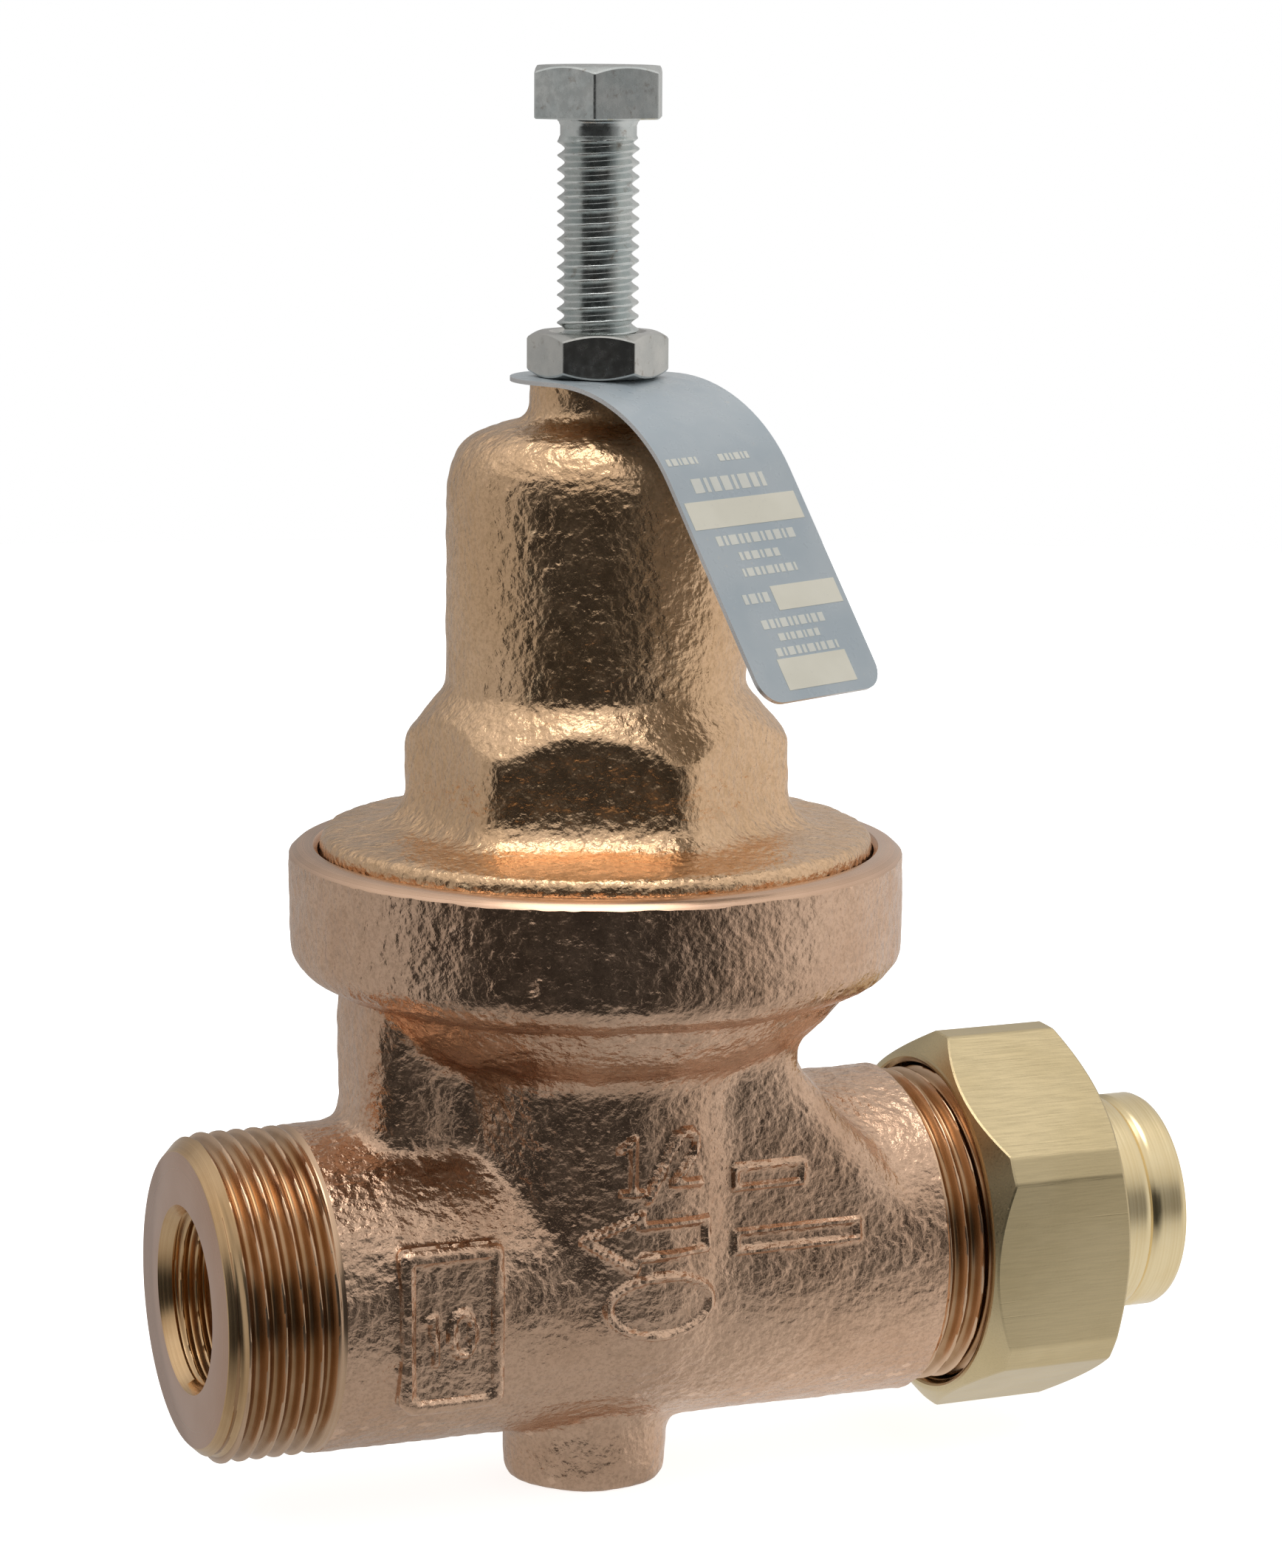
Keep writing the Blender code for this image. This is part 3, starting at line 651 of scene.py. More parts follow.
# %% Machined metal
def machined(
    name, colour, tint, along_x, roughness=(0.14, 0.28), ring=0.22, depth=0.012,
    tool_line_and_shade_colour=(0.3, 0.16, 0.07), painted_root_shade=None,
):
    """Turned metal. valley is (root radius, crest radius, colour): painted shade that darkens a thread's
    roots.
    """
    finish = new_finish(name, colour, 0.2, 1.0)
    tree = finish[1]
    lathe = lathe_space(tree, along_x)
    space = own_space(tree)
    lines = patches(tree, lathe, ring, 3.0, 0.6)
    shown = drifting(tree, space, 7.0, colour, tint)
    # Painted shade: the roots of a thread are darkened towards the given colour, from the root radius up to
    # the crest radius.
    if painted_root_shade:
        low, high, stain_and_shade = painted_root_shade
        radius = add(tree, "SeparateXYZ")
        tree.links.new(lathe, radius.inputs["Vector"])
        deep = ramp_between(tree, radius.outputs["X"], low * MM, high * MM, 0.92, 0.0)
        uneven = ramp_between(tree, patches(tree, space, 4.0, 3.0), 0.35, 0.65, 0.75, 1.0)
        shown = two_colours(tree, math_node(tree, "MULTIPLY", deep, uneven), shown, stain_and_shade)
    # Painted shade: corners, found by the mesh's curvature, are darkened as if shade fell in them.
    corners = ramp_between(tree, curvature_of(tree), 0.36, 0.485, 0.7, 0.0)
    corner_shaded = two_colours(tree, corners, shown, tool_line_and_shade_colour)
    fine = ramp_between(tree, lines, 0.35, 0.65, 0.22, 0.0)
    lined = two_colours(tree, fine, corner_shaded, tool_line_and_shade_colour)
    dull = ramp_between(tree, lines, 0.3, 0.7, *roughness)
    grooves = relief(tree, lines, depth, 0.6)
    return wired(finish, lined, dull, relief(tree, patches(tree, space, 1.6, 3.0), 0.02, 0.35, grooves))


# The union thread's roots get painted shade, darkest at the root.
THREAD_BRONZE = machined("thread_bronze", (0.80, 0.56, 0.38), (0.72, 0.49, 0.32), True, (0.18, 0.30), 0.30,
                         painted_root_shade=(18.25, 18.9, (0.40, 0.23, 0.11)))
FACE_BRONZE = machined("face_bronze", (0.66, 0.46, 0.36), (0.62, 0.42, 0.32), True, (0.26, 0.36), 0.30, 0.006,
                       (0.45, 0.29, 0.18))
EDGE_BRONZE = machined("edge_bronze", (0.80, 0.56, 0.32), (0.70, 0.46, 0.24), True, (0.16, 0.28), 0.30)
RING_BRONZE = machined("ring_bronze", (0.82, 0.56, 0.40), (0.76, 0.51, 0.36), False, (0.20, 0.32), 0.25,
                       0.010)
TAIL_BRASS = machined("tail_brass", (0.95, 0.81, 0.52), (0.92, 0.76, 0.46), True, (0.16, 0.26), 0.35, 0.008,
                      (0.66, 0.46, 0.18))
print("machined finishes made")

# %% [markdown]
# ## Valve body
#
# The body is one bronze casting: a wide ring that holds the bonnet, a column below it, the pipe run
# across, a boxed passage from the outlet up to the chamber under the diaphragm, a web towards the
# inlet and a small boss underneath. The forms below overlap freely, since one skin is drawn over them.

# %% Body sizes
RING_R, RING_TOP, RING_BORE_R = 36.0, 50.3, 32.6
LEDGE_Z, CHAMBER_R, CHAMBER_FLOOR = 37.0, 26.0, 31.5
COLUMN_R, COLUMN_BORE_R = 21.0, 15.0
PIPE_R_OUTLET, PIPE_R_INLET = 19.05, 19.9
FACE_X, CAST_END = 50.7, 37.3
UNION_R, UNION_PITCH = 19.05, 25.4 / 12
TAPER_R, TAPER_PITCH = 10.9, 25.4 / 14
BOSS_X, BOSS_R, BOSS_BOTTOM = -1.2, 9.75, -26.3
WEB_HALF, WEB_ROUND = 19.0, 4.4
BODY_FILLET, BONNET_FILLET = 2.2, 0.95
body_low, body_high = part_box("valve_body")
print("body spans in z:", round(body_low.z / MM, 1), "to", round(body_high.z / MM, 1))


# %% Body forms
def rounded_outline(corners, radius, steps=5):
    """A flat outline with its corners rounded, each by its own radius."""
    made = []
    count = len(corners)
    for i, (corner, r) in enumerate(zip(corners, radius)):
        corner = Vector(corner)
        before = (Vector(corners[i - 1]) - corner).normalized()
        after = (Vector(corners[(i + 1) % count]) - corner).normalized()
        half = before.angle(after) / 2
        if r == 0:
            made.append(tuple(corner))
            continue
        back_off = r / math.tan(half)
        centre = corner + (before + after).normalized() * (r / math.sin(half))
        first = corner + before * back_off - centre
        last = corner + after * back_off - centre
        for k in range(steps + 1):
            spoke = first.slerp(last, k / steps)
            made.append(tuple(centre + spoke.normalized() * r))
    return made


def web_forms():
    """The sloping web as stacked slabs, each a little smaller, so that its edges are well rounded."""
    forms = []
    for degrees in range(0, 91, 15):
        a = math.radians(degrees)
        half = WEB_HALF - WEB_ROUND * (1 - math.sin(a))
        inset = WEB_ROUND * (1 - math.cos(a)) * 0.7
        slope = [(19.5, 25.5), (26.5, 17.5), (33.5, 10.5), (36.5, 7.0)]
        outline = [(2, 28.8), (18.9 - inset, 28.8)] + [(x - inset, z - inset) for x, z in slope]
        outline += [(36.5, 0.0), (36.5, -4.0), (2, -4.0)]
        forms.append(block_from("web_form", outline, -half, half, "XZ"))
    return forms


def body_forms():
    """The ring with its flare and column, the pipe run, the boss, the passage, the pad and the web."""
    shell = [
        (0, 51.6), (RING_R - 0.1, 51.6), (RING_R - 0.1, 39.0), (35.6, 37.6), (34.6, 36.1), (33.0, 35.1),
        (31.6, 34.6), (30.6, 34.4), (29.9, 33.5), (28.2, 31.2), (26.1, 29.2), (24.0, 27.9), (22.4, 27.1),
        (21.5, 26.3), (COLUMN_R, 25.2), (COLUMN_R, -3.0), (19.0, -8.0), (15.0, -13.0), (0, -13.0),
    ]
    pipe = [(0, 39.4), (PIPE_R_INLET, 39.4), (PIPE_R_OUTLET, -39.4), (0, -39.4)]
    foot = [(BOSS_R, BOSS_BOTTOM + 0.7), (BOSS_R - 0.7, BOSS_BOTTOM), (0, BOSS_BOTTOM)]
    boss = [(0, -8.0), (BOSS_R, -8.0)] + foot
    duct = rounded_outline([(-8, -9.2), (-8, 9.2), (-30.4, 9.2), (-30.4, -9.2)], (0, 0, 4.6, 4.6))
    pad = [(-30.8, -10.2), (-19.0, -10.2), (-19.0, 8.3), (-30.8, 8.3)]
    turned_boss = turned("boss_form", boss, 96)
    turned_boss.data.transform(Matrix.Translation((BOSS_X * MM, 0, 0)))
    return [
        turned("shell_form", shell, 192),
        turned("pipe_form", pipe, 160, along_x=True),
        turned_boss,
        block_from("duct_form", duct, 0.5, 33.4),
        block_from("pad_form", pad, -19.45, -5.0, "XZ"),
    ] + web_forms()


CELL = 0.36
body = one_skin("body_casting", body_forms(), CELL)
print("skin faces:", len(body.data.polygons))

# %% [markdown]
# ### Fillets and skin
#
# The rubbing is heavy low down, where the pattern has big fillets, and light round the ring, which
# has tighter corners. The number of passes grows with the square of the mesh's fineness, so that the
# fillets come out the same size whichever cell is used.

# %% Fillets and skin
def passes_for(radius):
    """Passes that round a square corner to about the given radius."""
    return int(round(2.2 * (radius / CELL) ** 2))


def low_weight(places):
    """Full rubbing below the ring, little on it, and none at the ends that are cut off later."""
    by_height = np.clip((34.5 - places[:, 2]) / 4.0, 0.10, 1.0)
    by_end = np.clip((39.0 - np.abs(places[:, 0])) / 1.2, 0.0, 1.0)
    boss = np.clip((places[:, 2] + 26.4) / 4.0, 0.12, 1.0)
    pad = (places[:, 0] < -17.5) & (places[:, 1] < -15.5) & (np.abs(places[:, 2]) < 10.8)
    keep = np.where(pad, 0.22, 1.0)
    return by_height * by_end * boss * keep


rub_smooth(body, passes_for(BODY_FILLET), low_weight)
roughen(body, height=0.16, size=5.0, seed=1)
roughen(body, height=0.11, size=1.5, seed=2)
print("body skin:", len(body.data.vertices), "vertices")

# %% [markdown]
# ### Foundry marks
#
# Marks on a casting are carved into the pattern, so they stand proud and share the rough skin. They
# are raised from the skin along simple strokes: the nominal size, the arrow for the flow, a blank
# oval, a cavity number on its pad, and plain bars where a maker would put a name.

# %% Foundry marks
def oval(cx, cz, half_wide, half_high, steps=40):
    """A closed oval about (cx, cz)."""
    turns = [2 * math.pi * i / steps for i in range(steps + 1)]
    return [(cx + half_wide * math.cos(a), cz + half_high * math.sin(a)) for a in turns]


def bar(x, z, wide, high):
    """A plain lying bar, drawn as a closed outline."""
    return [(x, z), (x + wide, z), (x + wide, z + high), (x, z + high), (x, z)]


arrow = [
    (-8.9, 7.7), (-2.4, 10.6), (-2.6, 9.3), (5.8, 9.3), (5.9, 5.9), (-2.8, 5.5), (-3.2, 4.1), (-8.9, 7.7),
]
size_mark = [
    [(-4.9, 18.4), (-3.5, 19.5), (-3.5, 13.4)], [(-4.6, 13.3), (-2.6, 13.3)],
    [(-1.7, 12.5), (1.8, 19.7)],
    [
        (1.4, 18.3), (1.8, 19.4), (2.6, 20.0), (3.5, 20.0), (4.2, 19.3), (4.3, 18.2), (3.8, 17.0),
        (1.5, 14.0), (4.7, 13.9),
    ],
]
cavity_mark = [
    [(-27.9, 0.4), (-27.3, 0.9), (-27.0, -4.6)],
    oval(-23.8, -1.5, 1.3, 2.5, 20),
]
pad_frame = [
    (-30.3, -9.0), (-30.3, 7.8), (-19.5, 7.8), (-19.5, -9.0), (-20.1, -9.7), (-29.6, -9.7), (-30.3, -9.0),
]
name_bars = [bar(9.9, 12.2, 8.6, 2.4), bar(10.1, 4.6, 15.6, 2.2)]
raise_strokes(body, [arrow], height=0.68, width=0.60)
raise_strokes(body, size_mark, height=0.85, width=0.62)
raise_strokes(body, [oval(0.2, -0.5, 6.4, 3.6)], height=0.62, width=0.62)
raise_strokes(body, cavity_mark, height=0.60, width=0.58)
raise_strokes(body, [pad_frame], height=0.60, width=0.95)
raise_strokes(body, name_bars, height=0.50, width=0.56)
print("marks raised")


# %% Nodules and parting marks
def raise_dots(piece, dots):
    """Small bumps at (angle in degrees round the ring, height, radius, rise)."""
    places = places_of(piece)
    normals = normals_of(piece)
    for angle, z, size, rise in dots:
        a = math.radians(angle)
        centre = np.array((RING_R * math.cos(a), RING_R * math.sin(a), z))
        away = np.linalg.norm(places - centre, axis=1) / size
        lump = np.clip(1 - away * away, 0, 1) ** 1.5
        places += normals * (rise * lump)[:, None]
    put_places(piece, places)


raise_dots(body, [
    (-122.5, 40.6, 0.85, -0.45), (-122.0, 41.0, 0.45, 0.5), (-117.0, 41.9, 0.45, 0.3),
    (-160, 41.0, 0.5, 0.2), (-96.0, 46.2, 0.40, 0.22), (-75.0, 43.4, 0.45, 0.22),
    (-64.0, 40.8, 0.40, 0.25), (-142.0, 46.9, 0.40, 0.18),
] + [(-169.0, z, 1.0, 0.16) for z in (39.5, 40.5, 41.5, 42.5, 43.5, 44.5, 45.5)])


# %% Trim to size
def trim_round(piece, radius):
    """Brings back what stands past the radius above the pipe, or below the boss's foot."""
    places = places_of(piece)
    away = off_axis(places)
    too_wide = (away > radius) & (places[:, 2] > 30.0)
    places[:, :2] *= np.where(too_wide, radius / np.maximum(away, 1.0), 1.0)[:, None]
    places[:, 2] = np.maximum(places[:, 2], BOSS_BOTTOM)
    put_places(piece, places)


trim_round(body, RING_R)

# %% [markdown]
# ### Machining the body
#
# The lathe leaves the ring's top flat, bores the socket for the bonnet and the chamber under the
# diaphragm, and drills the passages. All of it is cut after the skin is rough, so the edges between
# cast and machined metal are sharp, as they are on the real valve.

# %% Machining the body
top_tool = [
    (0, 54.0), (38.0, 54.0), (38.0, 48.9), (36.3, 48.95), (35.75, 49.5), (35.2, 50.0), (34.5, RING_TOP),
    (0, RING_TOP),
]
bore_tool = [
    (0, 52.0), (33.1, 52.0), (33.1, RING_TOP), (RING_BORE_R, RING_TOP - 0.5), (RING_BORE_R, LEDGE_Z),
    (CHAMBER_R, LEDGE_Z), (CHAMBER_R, CHAMBER_FLOOR), (COLUMN_BORE_R, CHAMBER_FLOOR), (COLUMN_BORE_R, 18.0),
    (12.3, 18.0), (12.3, 12.0), (COLUMN_BORE_R, 12.0), (COLUMN_BORE_R, -7.0), (12.2, -7.0), (12.2, -11.8),
    (7.2, -11.8), (7.2, -22.6), (0, -22.6),
]
outlet_tool = [(0, -18.4), (8.0, -18.4), (8.0, -36.0), (9.75, -36.0), (9.75, -60.0), (0, -60.0)]
inlet_tool = [(0, 60.0), (9.5, 60.0), (9.5, 12.0), (0, 12.0)]
carve(body, turned("top_tool", top_tool, 192))
carve(body, turned("bore_tool", bore_tool, 192))
carve(body, turned("outlet_tool", outlet_tool, 96, along_x=True))
carve(body, turned("inlet_tool", inlet_tool, 96, along_x=True))
for side in (-1, 1):
    end_tool = [(0, side * CAST_END), (24.0, side * CAST_END), (24.0, side * 45.0), (0, side * 45.0)]
    carve(body, turned("end_tool", end_tool, 64, along_x=True))
rise = [(-25.2, -6.0), (-18.6, -6.0), (-18.6, 6.0), (-25.2, 6.0)]
carve(body, block_from("rise_tool", rise, -5.0, CHAMBER_FLOOR + 0.5))
coat(body, BODY_BRONZE, RING_BRONZE)


def turned_here(middles, normals):
    """The ring's flat top and its bore."""
    away = off_axis(middles)
    top = (middles[:, 2] > 48.95) & (away < 36.3) & (normals[:, 2] > 0.3)
    bore = (away < 33.2) & (middles[:, 2] > 36.9)
    return top | bore


paint_faces(body, 1, turned_here)
crisp(body, 38)
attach(body, "valve_body")
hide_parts("valve_body")

# %% [markdown]
# ## Threaded ends
#
# Both ends of the run carry the same union thread, twelve turns to the inch. The outlet is bare: it
# shows its faced end and the tapered pipe thread inside. The inlet's thread goes into the union nut.
# Each end is a closed ring turned from a fine profile, so the helix is real and catches the light.

# %% Threaded ends
SIDES = 288
STEP = 0.13
ROOT_R, CHAMFER_R = 17.9, 17.2
BORE_MOUTH_R, MOUTH_DEPTH = 9.9, 1.5


def threaded_end(name, sign, fade):
    """One end of the run, from under the cast skin to the faced end, with its bore."""
    neck = [(ROOT_R, CAST_END - 0.7), (ROOT_R, CAST_END - 0.3), (UNION_R, CAST_END)]
    rim = [(UNION_R, FACE_X - 2.0), (CHAMFER_R, FACE_X - 0.08), (CHAMFER_R - 0.1, FACE_X)]
    outer = refined(neck + rim, STEP)
    mouth = [(TAPER_R + 0.08, FACE_X), (TAPER_R, FACE_X - 0.1), (BORE_MOUTH_R, FACE_X - MOUTH_DEPTH)]
    bore = refined([mouth[-1], (9.6, FACE_X - 13.9), (9.75, CAST_END - 0.7)], STEP)[1:]
    profile = [(r, sign * x) for r, x in outer + mouth + bore]
    start, stop = sorted((sign * CAST_END, sign * (FACE_X + 4)))
    fades = fade if sign > 0 else fade[::-1]
    ridge = outside_thread(UNION_R, UNION_R - ROOT_R, UNION_PITCH, start, stop, *fades, 16.5, power=1.9)
    span = sorted((sign * (FACE_X - 12.5), sign * (FACE_X - MOUTH_DEPTH + 0.3)))
    inner = inside_thread(0.85, TAPER_PITCH, *span, 0.8, 10.2, power=1.4)
    made = turned(name, profile, SIDES, along_x=True, closed=True, thread=both(ridge, inner))
    coat(made, THREAD_BRONZE, FACE_BRONZE, EDGE_BRONZE)

    def faced(middles, normals):
        away = off_run(middles)
        return (np.abs(middles[:, 0]) > FACE_X - 0.09) & (away > TAPER_R) & (away < CHAMFER_R)

    def edged(middles, normals):
        away = off_run(middles)
        along = np.abs(middles[:, 0])
        outside = (along > FACE_X - 1.9) & (away > CHAMFER_R - 0.11) & (np.abs(normals[:, 0]) > 0.4)
        return outside | ((away < TAPER_R + 0.1) & (along < FACE_X - 0.01))

    paint_faces(made, 1, faced)
    paint_faces(made, 2, edged)
    crisp(made, 50)
    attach(made, "valve_body")
    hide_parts("valve_body")
    return made


outlet_end = threaded_end("outlet_thread", -1, (1.6, 0.4))
threaded_end("inlet_thread", 1, (1.0, 0.4))
print("outlet thread faces:", len(outlet_end.data.polygons))

# %% [markdown]
# ## Bonnet
#
# The bonnet is a bell-shaped bronze casting that holds the range spring. It has a neck for the
# screw, a rounded shoulder, a tapering skirt with a hexagon for the wrench, and a thin round rim
# that screws into the ring. The hexagon's corners are turned off before it is skinned, which gives
# the arched tops of its faces.

# %% Hexagon maths
def flats_radius(turn, flats, facing):
    """Distance from the axis to a hexagon's side, at an angle round the axis."""
    part = math.pi / 3
    local = (turn - facing + part / 2) % part - part / 2
    return flats / 2 / math.cos(local)


def fine_turns(corners, coarse=2.0):
    """Angles round a circle, crowded on either side of each corner."""
    turns = {round(math.radians(d * coarse), 6) for d in range(int(360 / coarse))}
    near = math.radians(2.1)
    for corner in corners:
        turns -= {t for t in turns if abs((t - corner + math.pi) % (2 * math.pi) - math.pi) < near}
        for off in (-2.0, -1.0, -0.4, 0.4, 1.0, 2.0):
            turns.add(round((corner + math.radians(off)) % (2 * math.pi), 6))
    return np.array(sorted(turns))


# %% Bonnet casting
BONNET_FACING = math.radians(-90 - 23.7)
HEX_FLATS, HEX_CORNER = 40.2, 5.0
CONE_R, CONE_TOP, CONE_SLOPE = 17.5, 69.0, 1.22
BONNET_R, NECK_TOP = 32.3, 104.3


def rounded_flats_radius(turn, flats, facing, corner):
    """As flats_radius for a hexagon, with each corner rounded to a radius."""
    local = abs((turn - facing + math.pi / 6) % (math.pi / 3) - math.pi / 6)
    inset = flats / 2 - corner
    if flats / 2 * math.tan(local) <= inset * math.tan(math.pi / 6):
        return flats / 2 / math.cos(local)
    centre = inset / math.cos(math.pi / 6)
    off = math.pi / 6 - local
    return centre * math.cos(off) + math.sqrt(corner ** 2 - (centre * math.sin(off)) ** 2)


def bonnet_hexagon():
    """The hexagon: a cone turned on its top, and a foot that sweeps out into the rim."""
    turns = np.arange(240) * 2 * math.pi / 240
    columns = []
    for turn in turns:
        r = rounded_flats_radius(turn, HEX_FLATS, BONNET_FACING, HEX_CORNER)
        top = CONE_TOP - (r - CONE_R) * CONE_SLOPE
        foot = [
            (r, 56.6), (r + 0.3, 55.4), (r + 0.9, 54.3), (r + 1.9, 53.4), (r + 3.4, 52.8), (r + 5.4, 52.5),
        ]
        columns.append([(0, CONE_TOP), (CONE_R, CONE_TOP), (r, top)] + foot + [(r + 5.4, 50.5), (0, 50.5)])
    return spin("hexagon_form", turns, columns)


def bonnet_forms():
    """The bell from its neck down to its rim, and the hexagon round it."""
    bell = [
        (0, 105.4), (7.8, 105.4), (7.8, 101.6), (8.1, 100.7), (8.8, 100.0), (9.9, 99.6),
        (11.8, 99.15), (13.6, 98.5), (15.2, 97.4), (16.4, 95.9), (17.1, 94.2), (17.4, 92.4), (CONE_R, 75.0),
        (CONE_R, 53.5), (23.2, 52.9), (27.5, 52.45),
        (30.6, 52.15), (31.6, 51.9), (32.15, 51.3), (32.28, 50.5), (32.28, 40.2), (0, 40.2),
    ]
    return [turned("bell_form", bell, 192), bonnet_hexagon()]


bonnet = one_skin("bonnet_casting", bonnet_forms(), CELL)


def bonnet_weight(places):
    """Full rubbing on the bell, and little on the rim and the top of the neck."""
    rim = np.clip((31.2 - off_axis(places)) / 2.0, 0.04, 1.0)
    neck = np.clip((102.6 - places[:, 2]) / 2.0, 0.1, 1.0)
    return rim * neck


rub_smooth(bonnet, passes_for(BONNET_FILLET), bonnet_weight)
roughen(bonnet, height=0.16, size=4.6, seed=5)
roughen(bonnet, height=0.10, size=1.5, seed=6)
trim_round(bonnet, BONNET_R)
cavity_tool = [
    (0, 95.0), (8.0, 95.0), (12.5, 93.6), (14.6, 90.8), (14.6, 50.0), (22.0, 48.5), (27.5, 45.5),
    (27.5, 38.0), (0, 38.0),
]
screw_tool = [(0, 107.0), (5.6, 107.0), (5.6, 104.0), (5.0, 103.4), (5.0, 94.0), (0, 94.0)]
neck_tool = [(0, 107.0), (9.5, 107.0), (9.5, NECK_TOP), (0, NECK_TOP)]
carve(bonnet, turned("cavity_tool", cavity_tool, 96))
carve(bonnet, turned("screw_tool", screw_tool, 64))
carve(bonnet, turned("neck_tool", neck_tool, 64))
coat(bonnet, BONNET_BRONZE)
crisp(bonnet, 38)
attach(bonnet, "valve_body")
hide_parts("bonnet")
print("bonnet faces:", len(bonnet.data.polygons))

# %% [markdown]
# ## Zinc plating
#
# The adjusting screw and its jam nut are steel with a thin zinc plating. It is a pale, slightly
# green grey. Handling leaves brown smears on it, and the corners of the thread are painted darker as shade.

# %% Zinc plating
def zinc_plating(name, light, dark, smear, rough=(0.16, 0.34)):
    finish = new_finish(name, light, 0.25, 1.0)
    tree = finish[1]
    space = own_space(tree)
    base = drifting(tree, space, 3.2, light, dark, 0.68)
    blotch = ramp_between(tree, patches(tree, space, 1.5, 5.0, 0.7), 0.56, 0.72, 0.0, 0.75)
    smeared = two_colours(tree, blotch, base, smear)
    # Painted shade: the corners, found by the mesh's curvature, are darkened as if shade fell in them.
    corners = ramp_between(tree, curvature_of(tree), 0.38, 0.48, 0.6, 0.0)
    shade_in_corners = two_colours(tree, corners, smeared, (0.16, 0.14, 0.12))
    dull = ramp_between(tree, patches(tree, space, 0.9, 4.0), 0.3, 0.7, *rough)
    dents = relief(tree, patches(tree, space, 1.1, 3.0), 0.035, 0.5)
    return wired(finish, shade_in_corners, dull, relief(tree, patches(tree, space, 0.25, 2.0), 0.008, 0.5, dents))


SCREW_ZINC = zinc_plating("screw_zinc", (0.70, 0.73, 0.72), (0.60, 0.65, 0.65), (0.38, 0.34, 0.30))
NUT_ZINC = zinc_plating("nut_zinc", (0.64, 0.64, 0.61), (0.55, 0.56, 0.54), (0.32, 0.28, 0.24), (0.16, 0.28))

# %% [markdown]
# ## Adjusting screw
#
# A three-eighths hexagon-head screw presses the spring down. The head is a forged hexagon with its
# top corners turned off, and the shank has sixteen threads to the inch with narrow crests, a short
# plain part under the head and a chamfered tip. Head and shank are separate meshes in one piece.

# %% Hexagon heads
def hexagon_column(r, flats, low, high, chamfer, bottom_chamfer, bore):
    """One column of a nut or a head, with its corners turned off by shallow cones."""
    over = max(0.0, r - flats / 2 * 0.985)
    top = high - over * chamfer
    bottom = low + (over * chamfer if bottom_chamfer else 0.0)
    rim = flats / 2 * 0.955
    profile = [(rim, high), (r, top), (r, bottom), (rim, low)]
    if bore:
        profile = [(bore + 0.5, high)] + profile + [(bore + 0.5, low), (bore, low + 0.5), (bore, high - 0.5)]
        return eased(profile, 0.16, closed=True)
    return eased([(0, high - 0.12), (rim * 0.6, high - 0.1)] + profile + [(0, low)], 0.16)


def hexagon_piece(name, flats, facing, low, high, bottom_chamfer, bore=0.0):
    """A hexagon head, or a nut where a bore is given."""
    corners = [facing + math.radians(30 + 60 * i) for i in range(6)]
    turns = fine_turns([c % (2 * math.pi) for c in corners], 3.0)
    columns = []
    for turn in turns:
        r = min(flats_radius(turn, flats, facing), flats / 2 / math.cos(math.radians(30)) - 0.05)
        columns.append(hexagon_column(r, flats, low, high, 0.62, bottom_chamfer, bore))
    return spin(name, turns, columns, closed=bool(bore))


# %% Adjusting screw
SCREW_R, NECK_R, SCREW_PITCH = 4.7, 4.38, 25.4 / 16
HEAD_LOW, HEAD_HIGH, SCREW_TIP = 134.3, 140.3, 83.5
ZINC_FLATS = 14.2
head = hexagon_piece("screw_head", ZINC_FLATS, math.radians(-90 + 5.3), HEAD_LOW, HEAD_HIGH, False)
shank_profile = refined([
    (0, HEAD_LOW + 0.6), (5.2, HEAD_LOW + 0.3), (4.55, HEAD_LOW - 0.4), (NECK_R, HEAD_LOW - 0.8),
    (NECK_R, HEAD_LOW - 1.9), (SCREW_R, HEAD_LOW - 2.6), (SCREW_R, SCREW_TIP + 1.4), (3.3, SCREW_TIP),
    (0, SCREW_TIP),
], 0.11)
screw_thread = outside_thread(
    major=SCREW_R, depth=0.84, pitch=SCREW_PITCH, low=SCREW_TIP - 3, high=HEAD_LOW - 1.9,
    fade_low=0.5, fade_high=1.0, limit=3.2, power=1.35,
)
shank = turned("screw_shank", shank_profile, 128, thread=screw_thread)
crisp(head, 20)
crisp(shank, 60)
screw = join_pieces("adjusting_screw_made", [head, shank])
coat(screw, SCREW_ZINC)
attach(screw, "adjusting_screw")
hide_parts("adjusting_screw")
print("screw faces:", len(screw.data.polygons))

# %% [markdown]
# ## Jam nut
#
# The jam nut locks the screw after it has been set. Both of its ends are chamfered, so its faces
# have arched edges above and below.

# %% Jam nut
NUT_LOW, NUT_HIGH = 104.95, 110.1
jam_nut = hexagon_piece("jam_nut", ZINC_FLATS, math.radians(-90 - 20.5), NUT_LOW, NUT_HIGH, True, bore=4.95)
coat(jam_nut, NUT_ZINC)
crisp(jam_nut, 20)
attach(jam_nut, "lock_nut")
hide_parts("lock_nut")

# %% [markdown]
# ## Union nut
#
# The union nut is milled from brass bar. It has six wide flats and six narrow ones where the corners
# were taken off, a cone round its mouth and an eased edge at the back. The flats keep the long fine
# lines of the bar and a dusty matt surface between them.

